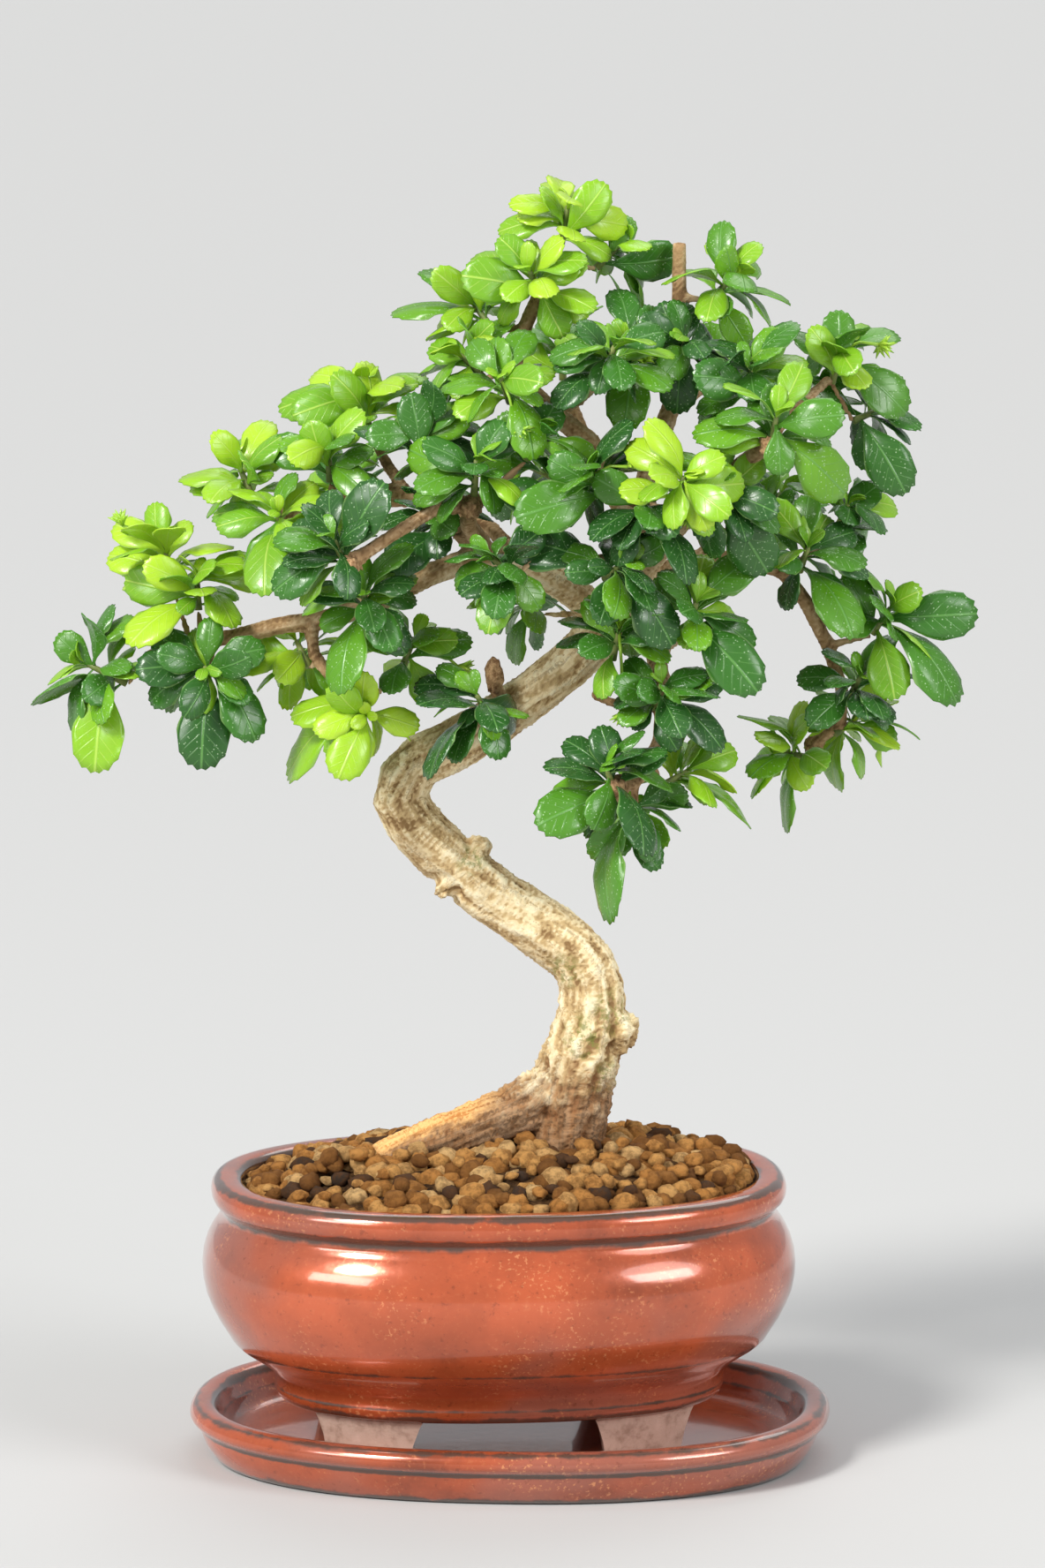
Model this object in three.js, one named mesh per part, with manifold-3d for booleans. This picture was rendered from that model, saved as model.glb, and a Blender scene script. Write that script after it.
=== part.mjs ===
// A Fukien tea bonsai: an S-curved trunk and limbs, leafy shoots, soil, an oval glazed pot on four feet
// and the oval drip tray it stands in. Millimetres, +Z up, +X to the right and -Y towards the viewer.
// The origin is on the surface that the tray stands on, under the middle of the pot.
import * as THREE from "three";
import { mergeVertices } from "three/addons/utils/BufferGeometryUtils.js";
import Module from "manifold-3d";

const wasm = await Module();
wasm.setup();

// Driving dimensions
const GAP = 0.3; // running gap between touching pieces
const OVAL_POWER = 2.3; // 2 is an ellipse, more is squarer
const OVAL_SIDES = 24;
const OVAL_NARROWING = 19.5; // half the pot's length less half its depth

const TRAY_LENGTH = 173;
const TRAY_FOOT_LENGTH = 160;
const TRAY_HEIGHT = 15;
const TRAY_FLOOR = 5;
const TRAY_LIP = 6.5;
const TRAY_TURN = -4.5; // degrees, as it happens to lie under the pot
const TRAY_SHIFT = 3;

const POT_LENGTH = 160; // over the belly
const POT_LIP_LENGTH = 155;
const POT_FOOT_LENGTH = 119;
const POT_TURN = 4.5; // degrees
const FOOT_HEIGHT = 12;
const BODY_HEIGHT = 60;
const POT_LIP = 8.5; // width of the lip's flat top
const POT_LIP_HEIGHT = 7;
const POT_FLOOR = 6; // thickness of the pot's floor
const FOOT_SPACING = 74; // between the middles of the left and right feet
const FOOT_TOP = 31;
const FOOT_SOLE = 21;
const FOOT_SIDE_GAP = 24; // between the front and back feet
const DRAIN_DIAMETER = 10;
const DRAIN_SPACING = 50;
const RIM = FOOT_HEIGHT + BODY_HEIGHT; // above the tray's floor

const SOIL_EDGE = RIM - 2.5; // soil height where it meets the pot, above the tray's floor
const SOIL_MOUND = 13;
const SOIL_GRAIN = 7.5;
const SOIL_CELL = 8.2;

const LEAF_THICKNESS = 0.6;
const LEAF_ROLL = 42; // degrees, how much leaves roll to either side
const LEAF_NOD = 22; // degrees, how much they lean to or from the viewer
const LEAF_ROOM = 1.5; // thickness of the clear space that each leaf keeps to other shoots
const STEM_RADIUS = 1.1;
const STEM_TAPER = 0.25;
const STEM_SIDES = 3;
const TWIG_SIDES = 3;
const TRUNK_SIDES = 10;

const glaze = new THREE.MeshStandardMaterial({ color: 0xa8492c, roughness: 0.25, metalness: 0.1 });
const trayGlaze = new THREE.MeshStandardMaterial({ color: 0x9c4a30, roughness: 0.28, metalness: 0.1 });
const soilBrown = new THREE.MeshStandardMaterial({ color: 0x8a6238, roughness: 0.95, metalness: 0 });
const bark = new THREE.MeshStandardMaterial({ color: 0xb49a6e, roughness: 0.85, metalness: 0 });
const youngLeaf = new THREE.MeshStandardMaterial({ color: 0x7fbf1f, roughness: 0.4, metalness: 0 });
const grownLeaf = new THREE.MeshStandardMaterial({ color: 0x1f6a2a, roughness: 0.35, metalness: 0 });

// Trunk, limbs and root: each line is x, y, z and the radius there
const TRUNK = [
  [19, 2, 60, 9], [17.8, 1, 78, 10.2], [19, 0, 95, 10.8], [22.4, 0, 109, 10.9], [25, 0, 121, 9.4],
  [24.6, 0, 130, 8.5], [19.8, 0, 137.6, 8.3], [11.2, 0, 144, 8.3], [-0.8, 0, 152, 7.8],
  [-11.4, 0, 161.4, 8], [-21.6, 0, 170.6, 7.5], [-26.4, 0, 180, 7.6], [-22.4, 0, 188, 7.2],
  [-11.3, 0, 193.6, 7], [4.5, 0, 204.2, 6.5], [19.4, 0, 215.6, 6.3], [29.5, 0, 226.7, 6.3],
  [36.5, 0, 237, 4.6],
];
const LIMBS = {
  leader: [[29.5, 0, 226.7, 6], [36.5, 0, 237, 5.4], [36, -2, 252, 4.5], [31, -4, 264, 3.7],
    [24, -6, 276, 3.2], [12, -6, 286, 2.8], [4, -5, 295, 2.5], [7, -3, 306, 2.2], [12, -2, 318, 1.9],
    [15, 0, 326, 1.6]],
  left: [[29, 0, 227, 5], [20, -3, 235, 4.6], [8, -5, 243, 4.2], [-4, -7, 246, 3.8], [-18, -9, 241, 3.4],
    [-32, -10, 234, 3.1], [-45, -9, 229, 2.9], [-58, -7, 227, 2.6], [-70, -7, 224, 2.3],
    [-82, -6, 222, 1.9], [-93, -7, 219, 1.6]],
  left_low: [[-50, -9, 228, 2.2], [-49, -12, 220, 2], [-43, -14, 212, 1.8], [-35, -14, 207, 1.5]],
  front_left: [[-2, -7, 245, 3], [-8, -20, 256, 2.6], [-7, -29, 262, 2.4], [-16, -32, 262, 2.1],
    [-28, -36, 255, 1.9], [-39, -38, 248, 2.1]],
  upper_left: [[-4, -7, 245, 3], [-14, -4, 256, 2.6], [-26, -2, 262, 2.3], [-38, -2, 263, 2],
    [-50, -4, 259, 1.8], [-58, -8, 257, 1.5]],
  crown_left: [[-24, -2, 261, 2], [-31, 3, 271, 1.7], [-34, 7, 278, 1.4]],
  second_top: [[36, -2, 250, 3.8], [40, 0, 268, 3.2], [46, 2, 285, 2.8], [48, 2, 300, 2.5],
    [48, 2, 314, 2.2], [48, 2, 328, 2]],
  right_front: [[36.5, 0, 238, 3.6], [46, -8, 252, 3.1], [56, -18, 264, 2.7], [64, -27, 273, 2.4],
    [71, -34, 279, 2.3]],
  right_top: [[56, -18, 264, 2.2], [70, -10, 276, 2], [82, -2, 287, 1.7], [88, 3, 292, 1.4]],
  right_long: [[36.5, 1, 237, 3.2], [52, 6, 243, 2.8], [66, 6, 243, 2.5], [76, 2, 240, 2.3],
    [82, 2, 232, 2.2], [88, 4, 220, 2.1], [92, 6, 208, 2], [92, 8, 198, 1.8], [83, 10, 191, 1.5]],
  right_low: [[30, 0, 226, 3.8], [41, -8, 222, 3.2], [44, -16, 210, 2.8], [43, -22, 198, 2.5],
    [38, -28, 190, 2.2], [31, -34, 188, 2.5]],
  dead_twig: [[44, -17, 208, 2], [34, -22, 207, 1.6], [25, -24, 211, 1.4]],
  front: [[36, -2, 249, 2.8], [38, -18, 256, 2.3], [39, -31, 262, 1.9]],
  front_low: [[37, -10, 252, 2.2], [33, -24, 248, 1.9], [22, -34, 248, 1.6], [8, -37, 248, 1.4]],
  back: [[36.5, 0, 239, 3], [34, 16, 252, 2.6], [26, 30, 266, 2.2], [18, 40, 284, 1.7]],
  back_left: [[8, -5, 242, 2.8], [-2, 14, 250, 2.4], [-16, 28, 256, 2], [-38, 33, 254, 1.6]],
  back_right: [[46, 2, 283, 2.2], [54, 18, 287, 1.9], [61, 34, 284, 1.5]],
  back_low: [[52, 6, 242, 2.3], [60, 22, 247, 1.9], [71, 33, 250, 1.5]],
  cut_stub: [[4, -3, 201, 2.8], [1, -9, 206, 2.3], [-2, -11, 214, 2.2]],
};
const SURFACE_ROOT = [
  [20, 0, 105, 8.5], [9, -2, 96, 7.4], [-8, -4, 90, 6.6], [-22, -6, 85.6, 5.8], [-36, -8, 79.2, 4.6],
  [-48, -9, 70.5, 3],
];
// Burrs and healed cuts on the trunk: x, y, z, radius
const BURRS = [[-5.5, -1, 165.5, 4], [32.4, -2, 116, 5.6], [-15, -4, 155, 4]];

// Shoots: the rosette's middle, how yellow-green the leaves are (0 grown, 1 young), and its leaves.
// A leaf is its angle in the front view in degrees (0 right, 90 up), its length, its lean towards the viewer,
// and its roll where that is known.
const SHOOTS = {
  far_left: [-104, -8, 214, 0.4, [[190, 25, 0, 60], [207, 15, 25], [-98, 27, 20, 0], [-10, 16, 30],
    [140, 14, 10], [58, 17, 5]]],
  left_low: [-77, -14, 216, 0.15, [[-95, 27, 25, 0], [-52, 23, 15, 0], [176, 20, 10], [-130, 19, -20],
    [20, 17, -10]]],
  left_mid: [-80, -5, 235, 0.8, [[207, 24, 0, 0], [168, 20, -10], [-32, 18, 25], [25, 16, 0]]],
  left_rise: [-88, 0, 242, 0.9, [[166, 18, 0], [24, 19, 0], [60, 12, 5], [105, 14, -5]]],
  left_tip: [-67, 0, 264, 0.75, [[165, 20, 0], [62, 16, 0], [-150, 17, 15], [25, 13, 0]]],
  left_bend: [-58, -14, 256, 0.6, [[-104, 25, 30], [-10, 18, 10], [75, 13, 0], [150, 15, -25]]],
  crown_left: [-35, 8, 281, 0.75, [[146, 20, -10], [122, 19, 5], [92, 16, 0], [58, 18, 0], [25, 17, 0],
    [180, 23, 10], [203, 22, 10]]],
  shoulder_left: [-45, -5, 270, 0.55, [[152, 18, 10], [110, 15, 0], [60, 17, 10], [5, 15, 0],
    [-160, 17, 10]]],
  knob_left: [-41, -40, 250, 0.1, [[112, 20, 5], [62, 25, -10], [205, 20, 10], [-75, 15, 30], [15, 15, 0]]],
  under_left: [-35, -28, 236, 0.15, [[-108, 26, 15], [-62, 17, 10], [160, 15, 20], [20, 14, 0]]],
  inner_left: [-52, -6, 219, 0.7, [[172, 19, 0], [-40, 14, 10], [-135, 15, 10], [60, 12, 0]]],
  pale_left: [-35, -15, 205, 0.95, [[-143, 30, 10], [166, 20, 0], [-115, 21, 20], [-35, 14, 0]]],
  centre_left: [-24, -10, 220, 0.5, [[-115, 15, 20], [-62, 15, 0], [15, 14, 10], [-10, 15, -25]]],
  low_front: [-4, -19, 207, 0.05, [[167, 23, 15], [-133, 26, 25], [-85, 16, 25], [60, 17, -5],
    [-55, 20, -10]]],
  knob_low: [30, -36, 189, 0.1, [[197, 26, 10], [158, 21, 10], [100, 16, 15], [-62, 27, 25],
    [-108, 17, 20], [-15, 18, 0]]],
  hanging: [36, -26, 181, 0.2, [[-108, 32, 5, 50], [-72, 15, 0], [-25, 14, 0]]],
  pale_low: [47, -20, 188, 0.8, [[160, 18, 10], [-35, 27, 0], [-75, 14, 10], [60, 14, 10], [20, 15, 0]]],
  right_low: [42, -29, 211, 0.15, [[20, 20, 15], [-22, 22, 10], [-58, 19, 10], [195, 13, 0]]],
  trunk_front: [31, -29, 225, 0.35, [[-108, 14, 10], [20, 14, 10], [125, 14, 0], [-60, 14, 20]]],
  right_inner: [51, -28, 232, 0.3, [[15, 17, 10], [-42, 27, -5], [-75, 15, 10], [150, 14, 10],
    [38, 20, 0, 0]]],
  drop_low: [81, 10, 189, 0.7, [[-112, 21, 10], [140, 21, 0, 55], [120, 16, -10], [-60, 13, 0]]],
  drop_end: [93, 9, 197, 0.7, [[-60, 14, 10], [-95, 19, 5], [-20, 14, 0], [35, 14, 0]]],
  drop_mid: [95, 0, 209, 0.2, [[-32, 15, 15], [-62, 18, 0], [30, 13, 0], [-110, 14, -10]]],
  far_right: [102, 0, 227, 0.3, [[-75, 21, 15], [-42, 30, 0], [4, 25, -5, 48], [40, 14, 0]]],
  right_droop: [81, -10, 245, 0.15, [[-52, 27, 15], [-108, 14, 20], [-78, 27, -10], [20, 15, 0]]],
  right_mid: [91, 5, 253, 0.25, [[0, 14, 0], [-27, 18, 0], [42, 14, 0], [150, 17, 10], [-70, 17, 15]]],
  knob_right: [72, -37, 282, 0.5, [[85, 16, 15], [175, 21, 15], [-40, 27, 10], [15, 20, 5], [-85, 14, 0]]],
  right_crown: [90, 4, 295, 0.5, [[126, 16, 5], [86, 16, 0], [0, 23, 0, 20], [-40, 23, 0, 25],
    [-150, 14, 10]]],
  right_edge: [98, 10, 281, 0.1, [[-57, 24, 0, 25], [168, 26, 0], [-20, 15, 0], [55, 12, 0]]],
  top_right: [59, 0, 316, 0.55, [[-8, 20, 5], [-38, 22, -10], [168, 21, 10], [50, 13, 0]]],
  upper_right: [49, -10, 301, 0.15, [[112, 15, 15], [172, 17, 10], [-28, 17, 0], [-110, 20, 15, 0]]],
  apex: [17.5, 0, 333, 0.95, [[50, 18, 10], [118, 14, 5], [165, 13, 10], [-8, 17, 0], [200, 15, 0]]],
  under_apex: [10, -7, 318, 0.7, [[165, 23, 5], [-62, 15, 15], [30, 14, 5], [205, 15, 10], [130, 14, -5],
    [-12, 20, 5, 0]]],
  top_left: [-4, 5, 308, 0.6, [[173, 26, 0], [138, 22, 0], [90, 14, 5], [205, 15, 10]]],
  left_crest: [-7, -5, 296, 0.6, [[152, 15, 5], [185, 17, 10], [60, 14, 0], [-135, 16, 10]]],
  crest_front: [2, -25, 292, 0.55, [[160, 17, 5], [102, 15, 0], [-62, 21, 15], [20, 14, 0], [-130, 15, 10]]],
  mid_front: [29, -29, 300, 0.2, [[-150, 18, 15], [120, 14, 10], [170, 17, 5], [-60, 14, 10], [20, 15, 5]]],
  mid_top: [37, -10, 300, 0.3, [[150, 21, 0], [75, 14, 0], [-100, 22, 15, 0], [-145, 18, 20], [-10, 15, 5]]],
  top_gap: [29, 5, 324, 0.4, [[3, 21, 0, 60], [60, 13, 0], [-50, 15, 5], [-120, 13, 10]]],
  lime_front: [47, -45, 268, 0.95, [[165, 15, 5], [190, 14, 5], [5, 18, 10], [38, 14, 0], [-160, 14, 20]]],
  big_front: [39, -38, 262, 0.08, [[-55, 25, 20], [-120, 17, 15], [150, 16, 0]]],
  big_right: [58, -35, 267, 0.08, [[-58, 25, 20], [-20, 18, 0], [200, 14, 0], [-100, 20, 5]]],
  dark_front: [27, -36, 268, 0.05, [[192, 27, 10], [150, 16, 0], [-65, 20, 15], [62, 18, 0]]],
  trunk_dark: [30, -39, 246, 0.1, [[172, 28, 10], [-48, 25, 15], [-95, 18, 5], [40, 14, 0]]],
  round_front: [2, -40, 247, 0.12, [[-110, 14, 20], [150, 15, 5], [-50, 15, 10], [35, 15, 5]]],
  knob_front: [-6, -34, 270, 0.3, [[10, 25, 5], [-130, 15, 10], [160, 20, 5], [60, 15, 0], [-35, 18, 10]]],
  centre_front: [9, -30, 278, 0.15, [[60, 16, 5], [110, 16, 5], [-20, 18, 10], [190, 15, 5]]],
  shoulder_front: [-20, -25, 276, 0.12, [[150, 21, 5], [100, 17, 5], [42, 16, 0], [-10, 16, 10],
    [-160, 17, 10]]],
  inner_dark: [-15, -14, 255, 0.08, [[-150, 21, 10], [150, 15, 0], [-62, 17, 10], [-20, 17, 5]]],
  under_mid: [8, 14, 230, 0.3, [[-110, 16, 5], [-70, 16, 5], [-150, 16, 0], [-30, 15, 0]]],
  right_dark: [67, -15, 293, 0.12, [[160, 22, 5], [-20, 19, 5], [60, 15, 0], [-80, 18, 10]]],
  back_crown: [17, 44, 292, 0.5, [[150, 18, -35], [90, 17, -20], [30, 18, -35], [200, 18, -30],
    [-30, 18, -40], [-90, 16, -45]]],
  back_left: [-42, 36, 256, 0.4, [[160, 20, -25], [110, 17, -30], [50, 17, -40], [200, 19, -20],
    [-100, 17, -30], [-40, 17, -50]]],
  back_right: [64, 38, 288, 0.35, [[20, 19, -30], [75, 16, -25], [130, 17, -40], [-30, 19, -25],
    [-90, 18, -40]]],
  back_low: [74, 36, 252, 0.3, [[15, 19, -30], [-40, 20, -25], [90, 16, -30], [160, 17, -50],
    [-95, 18, -35]]],
  back_middle: [10, 44, 262, 0.25, [[170, 19, -40], [110, 16, -50], [20, 18, -40], [-60, 18, -40],
    [-120, 18, -35]]],
};

// Turns a closed three.js geometry into a solid.
function solidOf(geometry) {
  const bare = geometry.index ? geometry.toNonIndexed() : geometry;
  bare.deleteAttribute("normal");
  bare.deleteAttribute("uv");
  const merged = mergeVertices(bare, 1e-4);
  return new wasm.Manifold(new wasm.Mesh({
    numProp: 3,
    vertProperties: new Float32Array(merged.attributes.position.array),
    triVerts: new Uint32Array(merged.index.array),
  }));
}

// Turns a solid back into a named mesh.
function meshOf(name, solid, material) {
  const made = solid.getMesh();
  const geometry = new THREE.BufferGeometry();
  geometry.setAttribute("position", new THREE.BufferAttribute(new Float32Array(made.vertProperties), 3));
  geometry.setIndex(new THREE.BufferAttribute(new Uint32Array(made.triVerts), 1));
  geometry.computeVertexNormals();
  const mesh = new THREE.Mesh(geometry, material);
  mesh.name = name;
  return mesh;
}

function geometryFrom(points, triangles) {
  const geometry = new THREE.BufferGeometry();
  geometry.setAttribute("position", new THREE.Float32BufferAttribute(points.flatMap((p) => p.toArray()), 3));
  geometry.setIndex(triangles.flat());
  return geometry;
}

// An oval: a profile of [half length, height] turned round, then drawn in along Y by a fixed amount.
function ovalSolid(profile, grow = 0) {
  const outline = profile.map(([r, z]) => new THREE.Vector2(Math.max(r + grow, 0), z));
  const turned = new THREE.LatheGeometry(outline, OVAL_SIDES);
  turned.rotateX(Math.PI / 2);
  const spots = turned.attributes.position;
  for (let i = 0; i < spots.count; i++) {
    const x = spots.getX(i);
    const y = spots.getY(i);
    const r = Math.hypot(x, y);
    if (r < 1e-6) continue;
    const deep = r > 2 * OVAL_NARROWING ? r - OVAL_NARROWING : r / 2;
    const power = 2 / OVAL_POWER;
    const along = Math.sign(x) * Math.abs(x / r) ** power;
    const across = Math.sign(y) * Math.abs(y / r) ** power;
    spots.setXY(i, r * along, deep * across);
  }
  const made = solidOf(turned);
  return made.volume() < 0 ? flipped(turned) : made;
}

function flipped(geometry) {
  const bare = geometry.toNonIndexed();
  const spots = bare.attributes.position.array;
  for (let i = 0; i < spots.length; i += 9)
    for (let k = 0; k < 3; k++) [spots[i + 3 + k], spots[i + 6 + k]] = [spots[i + 6 + k], spots[i + 3 + k]];
  return solidOf(bare);
}

// The drip tray: a flat base, a rolled lip with a groove under it, and a shallow inside with a flat floor.
function traySolid() {
  const foot = TRAY_FOOT_LENGTH / 2;
  const lip = TRAY_LENGTH / 2;
  return ovalSolid([
    [0, 0], [foot, 0], [foot + 2.6, 4.2], [foot + 3.6, 7.8], [lip - 1.8, 9.2], [lip, 11.4],
      [lip - 0.9, 13.8],
    [lip - 2.8, TRAY_HEIGHT], [lip - TRAY_LIP, TRAY_HEIGHT - 0.6], [lip - TRAY_LIP - 1.2, TRAY_HEIGHT - 3],
    [lip - TRAY_LIP - 3, TRAY_FLOOR + 1.6], [lip - TRAY_LIP - 6, TRAY_FLOOR], [0, TRAY_FLOOR],
  ]);
}

// The pot's inside, from its floor to above its rim.
const POT_INSIDE = [
  [0, FOOT_HEIGHT + POT_FLOOR], [50, FOOT_HEIGHT + POT_FLOOR], [57, FOOT_HEIGHT + 12],
    [68, FOOT_HEIGHT + 26],
  [72, FOOT_HEIGHT + 36], [70.5, RIM - 10], [POT_LIP_LENGTH / 2 - POT_LIP, RIM - 2],
];

// The pot's body: a plain foot band, a ridge, the round belly, a narrow neck and a flat-topped lip.
function potSolid() {
  const foot = POT_FOOT_LENGTH / 2;
  const belly = POT_LENGTH / 2;
  const lip = POT_LIP_LENGTH / 2;
  const body = ovalSolid([
    [0, FOOT_HEIGHT], [foot, FOOT_HEIGHT], [foot + 1.4, FOOT_HEIGHT + 2.6], [foot + 1.6, FOOT_HEIGHT + 6.5],
    [foot + 5.2, FOOT_HEIGHT + 10.4], [belly - 8.6, FOOT_HEIGHT + 15], [belly - 4, FOOT_HEIGHT + 22],
    [belly - 0.9, FOOT_HEIGHT + 29], [belly, FOOT_HEIGHT + 36], [belly - 1.4, FOOT_HEIGHT + 43],
    [belly - 4.2, FOOT_HEIGHT + 47.6], [belly - 5.6, FOOT_HEIGHT + 50.4], [lip - 1.2, RIM - POT_LIP_HEIGHT],
    [lip, RIM - 3.6], [lip - 0.8, RIM - 1.2], [lip - 2.4, RIM], [lip - POT_LIP + 1, RIM],
    ...POT_INSIDE.slice().reverse(),
  ]);
  return body.add(feetSolid()).subtract(drainSolid());
}

// Four feet: the foot band carried down to the tray, cut away between the feet with slanting sides.
function feetSolid() {
  const outer = POT_FOOT_LENGTH / 2;
  const ring = ovalSolid([[0, 0], [outer - 5, 0], [outer - 1, FOOT_HEIGHT + 1], [0, FOOT_HEIGHT + 1]])
    .subtract(ovalSolid([[0, -1], [outer - 17, -1], [outer - 17, FOOT_HEIGHT + 2], [0, FOOT_HEIGHT + 2]]));
  const blocks = [-1, 1].map((side) => {
    const middle = (side * FOOT_SPACING) / 2;
    const outline = new THREE.Shape();
    outline.moveTo(middle - FOOT_SOLE / 2, -1);
    outline.lineTo(middle + FOOT_SOLE / 2, -1);
    outline.quadraticCurveTo(middle + FOOT_SOLE / 2 + 1, FOOT_HEIGHT - 4, middle + FOOT_TOP / 2,
      FOOT_HEIGHT + 3);
    outline.lineTo(middle - FOOT_TOP / 2, FOOT_HEIGHT + 3);
    outline.quadraticCurveTo(middle - FOOT_SOLE / 2 - 1, FOOT_HEIGHT - 4, middle - FOOT_SOLE / 2, -1);
    const settings = { depth: POT_LENGTH, bevelEnabled: false, curveSegments: 3 };
    const block = new THREE.ExtrudeGeometry(outline, settings);
    block.rotateX(Math.PI / 2);
    block.translate(0, POT_LENGTH / 2, 0);
    return solidOf(block);
  });
  const sideGap = new THREE.BoxGeometry(2 * POT_LENGTH, FOOT_SIDE_GAP, 2 * FOOT_HEIGHT);
  return ring.intersect(blocks[0].add(blocks[1])).subtract(solidOf(sideGap));
}

function drainSolid() {
  const holes = [-1, 1].map((side) => {
    const hole = new THREE.CylinderGeometry(DRAIN_DIAMETER / 2, DRAIN_DIAMETER / 2, 3 * POT_FLOOR, 12);
    hole.rotateX(Math.PI / 2);
    hole.translate((side * DRAIN_SPACING) / 2, 0, FOOT_HEIGHT + POT_FLOOR / 2);
    return solidOf(hole);
  });
  return holes[0].add(holes[1]);
}

// A repeatable draw from 0 to 1.
function drawFrom(seed) {
  let state = seed;
  return () => {
    state = (Math.imul(state, 1664525) + 1013904223) >>> 0;
    return state / 4294967296;
  };
}

// How far a grain stands out of the mound at x, y: the tallest of the round grains near it.
function grainRise(x, y) {
  let rise = 0;
  const column = Math.round(x / SOIL_GRAIN);
  const row = Math.round(y / SOIL_GRAIN);
  for (let i = column - 1; i <= column + 1; i++)
    for (let j = row - 1; j <= row + 1; j++) {
      const draw = drawFrom(((i + 50) * 131 + (j + 50) * 7919) >>> 0);
      draw();
      const centreX = (i + 0.5 * (j & 1) + 0.5 * (draw() - 0.5)) * SOIL_GRAIN;
      const centreY = (j + 0.5 * (draw() - 0.5)) * SOIL_GRAIN;
      const size = SOIL_GRAIN * (0.5 + 0.2 * draw());
      const off = Math.hypot(x - centreX, y - centreY) / size;
      if (off < 1) rise = Math.max(rise, size * Math.sqrt(1 - off * off));
    }
  return rise;
}

function moundHeight(x, y) {
  const out = Math.min(1, ((x - 6) / 74) ** 2 + (y / 56) ** 2);
  return SOIL_EDGE + SOIL_MOUND * (1 - out) ** 0.95 - SOIL_GRAIN * 0.5;
}

// The soil fills the pot and heaps up round the trunk, with a plain hole where the trunk and roots go in.
function soilSolid(trunkRoom) {
  const wide = POT_LENGTH;
  const deep = POT_LENGTH - 2 * OVAL_NARROWING;
  const across = Math.round(wide / SOIL_CELL);
  const back = Math.round(deep / SOIL_CELL);
  const top = 2 * RIM;
  const block = new THREE.BoxGeometry(wide, deep, top, across, back, 1);
  const spots = block.attributes.position;
  for (let i = 0; i < spots.count; i++) {
    if (spots.getZ(i) < 0) {
      spots.setZ(i, 0);
      continue;
    }
    const x = spots.getX(i);
    const y = spots.getY(i);
    spots.setZ(i, moundHeight(x, y) + grainRise(x, y));
  }
  const floor = FOOT_HEIGHT + POT_FLOOR;
  const inside = [[0, floor + GAP], ...POT_INSIDE.slice(1).map(([r, z], i) => [r - GAP,
    i === 0 ? z + GAP : z]),
    [POT_INSIDE.at(-1)[0] - GAP, RIM + 40], [0, RIM + 40]];
  return largest(solidOf(block).intersect(ovalSolid(inside)).subtract(trunkRoom));
}

// The main body of a solid, without loose crumbs or sealed pockets.
function largest(solid) {
  return solid.decompose().sort((a, b) => b.volume() - a.volume())[0];
}

// A tapered tube with closed ends through points of x, y, z and radius. bumps is how far its bark swells.
function tubeSolid(stations, sides, steps, grow = 0, bumps = 0) {
  const middles = stations.map(([x, y, z]) => new THREE.Vector3(x, y, z));
  const curve = new THREE.CatmullRomCurve3(middles, false, "centripetal");
  const points = [];
  let side = null;
  for (let i = 0; i <= steps; i++) {
    const t = i / steps;
    const middle = curve.getPoint(t);
    const ahead = curve.getTangent(t);
    if (!side) side = new THREE.Vector3(0, 1, 0.01).cross(ahead).normalize();
    side.sub(ahead.clone().multiplyScalar(side.dot(ahead))).normalize();
    const up = new THREE.Vector3().crossVectors(ahead, side);
    const place = t * (stations.length - 1);
    const k = Math.min(Math.floor(place), stations.length - 2);
    const radius = stations[k][3] + (stations[k + 1][3] - stations[k][3]) * (place - k) + grow;
    for (let j = 0; j < sides; j++) {
      const angle = (2 * Math.PI * j) / sides;
      const swell = 1 + bumps * (Math.sin(3 * angle + i * 1.3) + 0.7 * Math.sin(5 * angle - i * 2.1));
      points.push(middle.clone()
        .addScaledVector(side, Math.cos(angle) * radius * swell)
        .addScaledVector(up, Math.sin(angle) * radius * swell));
    }
  }
  const triangles = [];
  for (let i = 0; i < steps; i++)
    for (let j = 0; j < sides; j++) {
      const a = i * sides + j;
      const b = i * sides + ((j + 1) % sides);
      triangles.push([a, b, b + sides], [a, b + sides, a + sides]);
    }
  for (let j = 1; j < sides - 1; j++) {
    triangles.push([0, j + 1, j]);
    const end = steps * sides;
    triangles.push([end, end + j, end + j + 1]);
  }
  return solidOf(geometryFrom(points, triangles));
}

// The trunk, its roots and the burrs on it, without the limbs.
function trunkSolid(grow = 0) {
  let wood = tubeSolid(TRUNK, TRUNK_SIDES, 25, grow, 0.035).add(tubeSolid(SURFACE_ROOT, 8, 7, grow, 0.03));
  for (const [x, y, z, radius] of BURRS) {
    const burr = new THREE.IcosahedronGeometry(radius + grow, 1);
    burr.translate(x, y, z);
    wood = wood.add(solidOf(burr));
  }
  return wood;
}

// Where a shoot's twig leaves the nearest limb, and the limb's radius there.
function limbSpot(target) {
  let found = null;
  for (const stations of Object.values(LIMBS))
    for (let i = 0; i < stations.length - 1; i++)
      for (let k = 0; k <= 4; k++) {
        const [x, y, z, r] = stations[i].map((v, n) => v + ((stations[i + 1][n] - v) * k) / 4);
        const spot = new THREE.Vector3(x, y, z);
        const rise = spot.z > target.z ? 1.4 : 1;
        const far = spot.distanceTo(target) * rise;
        if (!found || far < found.far) found = { spot, far, radius: r };
      }
  return found;
}

// The way that a shoot points: on from its twig, outwards and up.
function shootAim(middle, spot) {
  const out = middle.clone().sub(spot);
  if (out.length() < 1) out.set(middle.x - 10, middle.y, 20);
  return out.normalize().multiplyScalar(0.8).add(new THREE.Vector3(0, 0, 0.7)).normalize();
}

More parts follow.
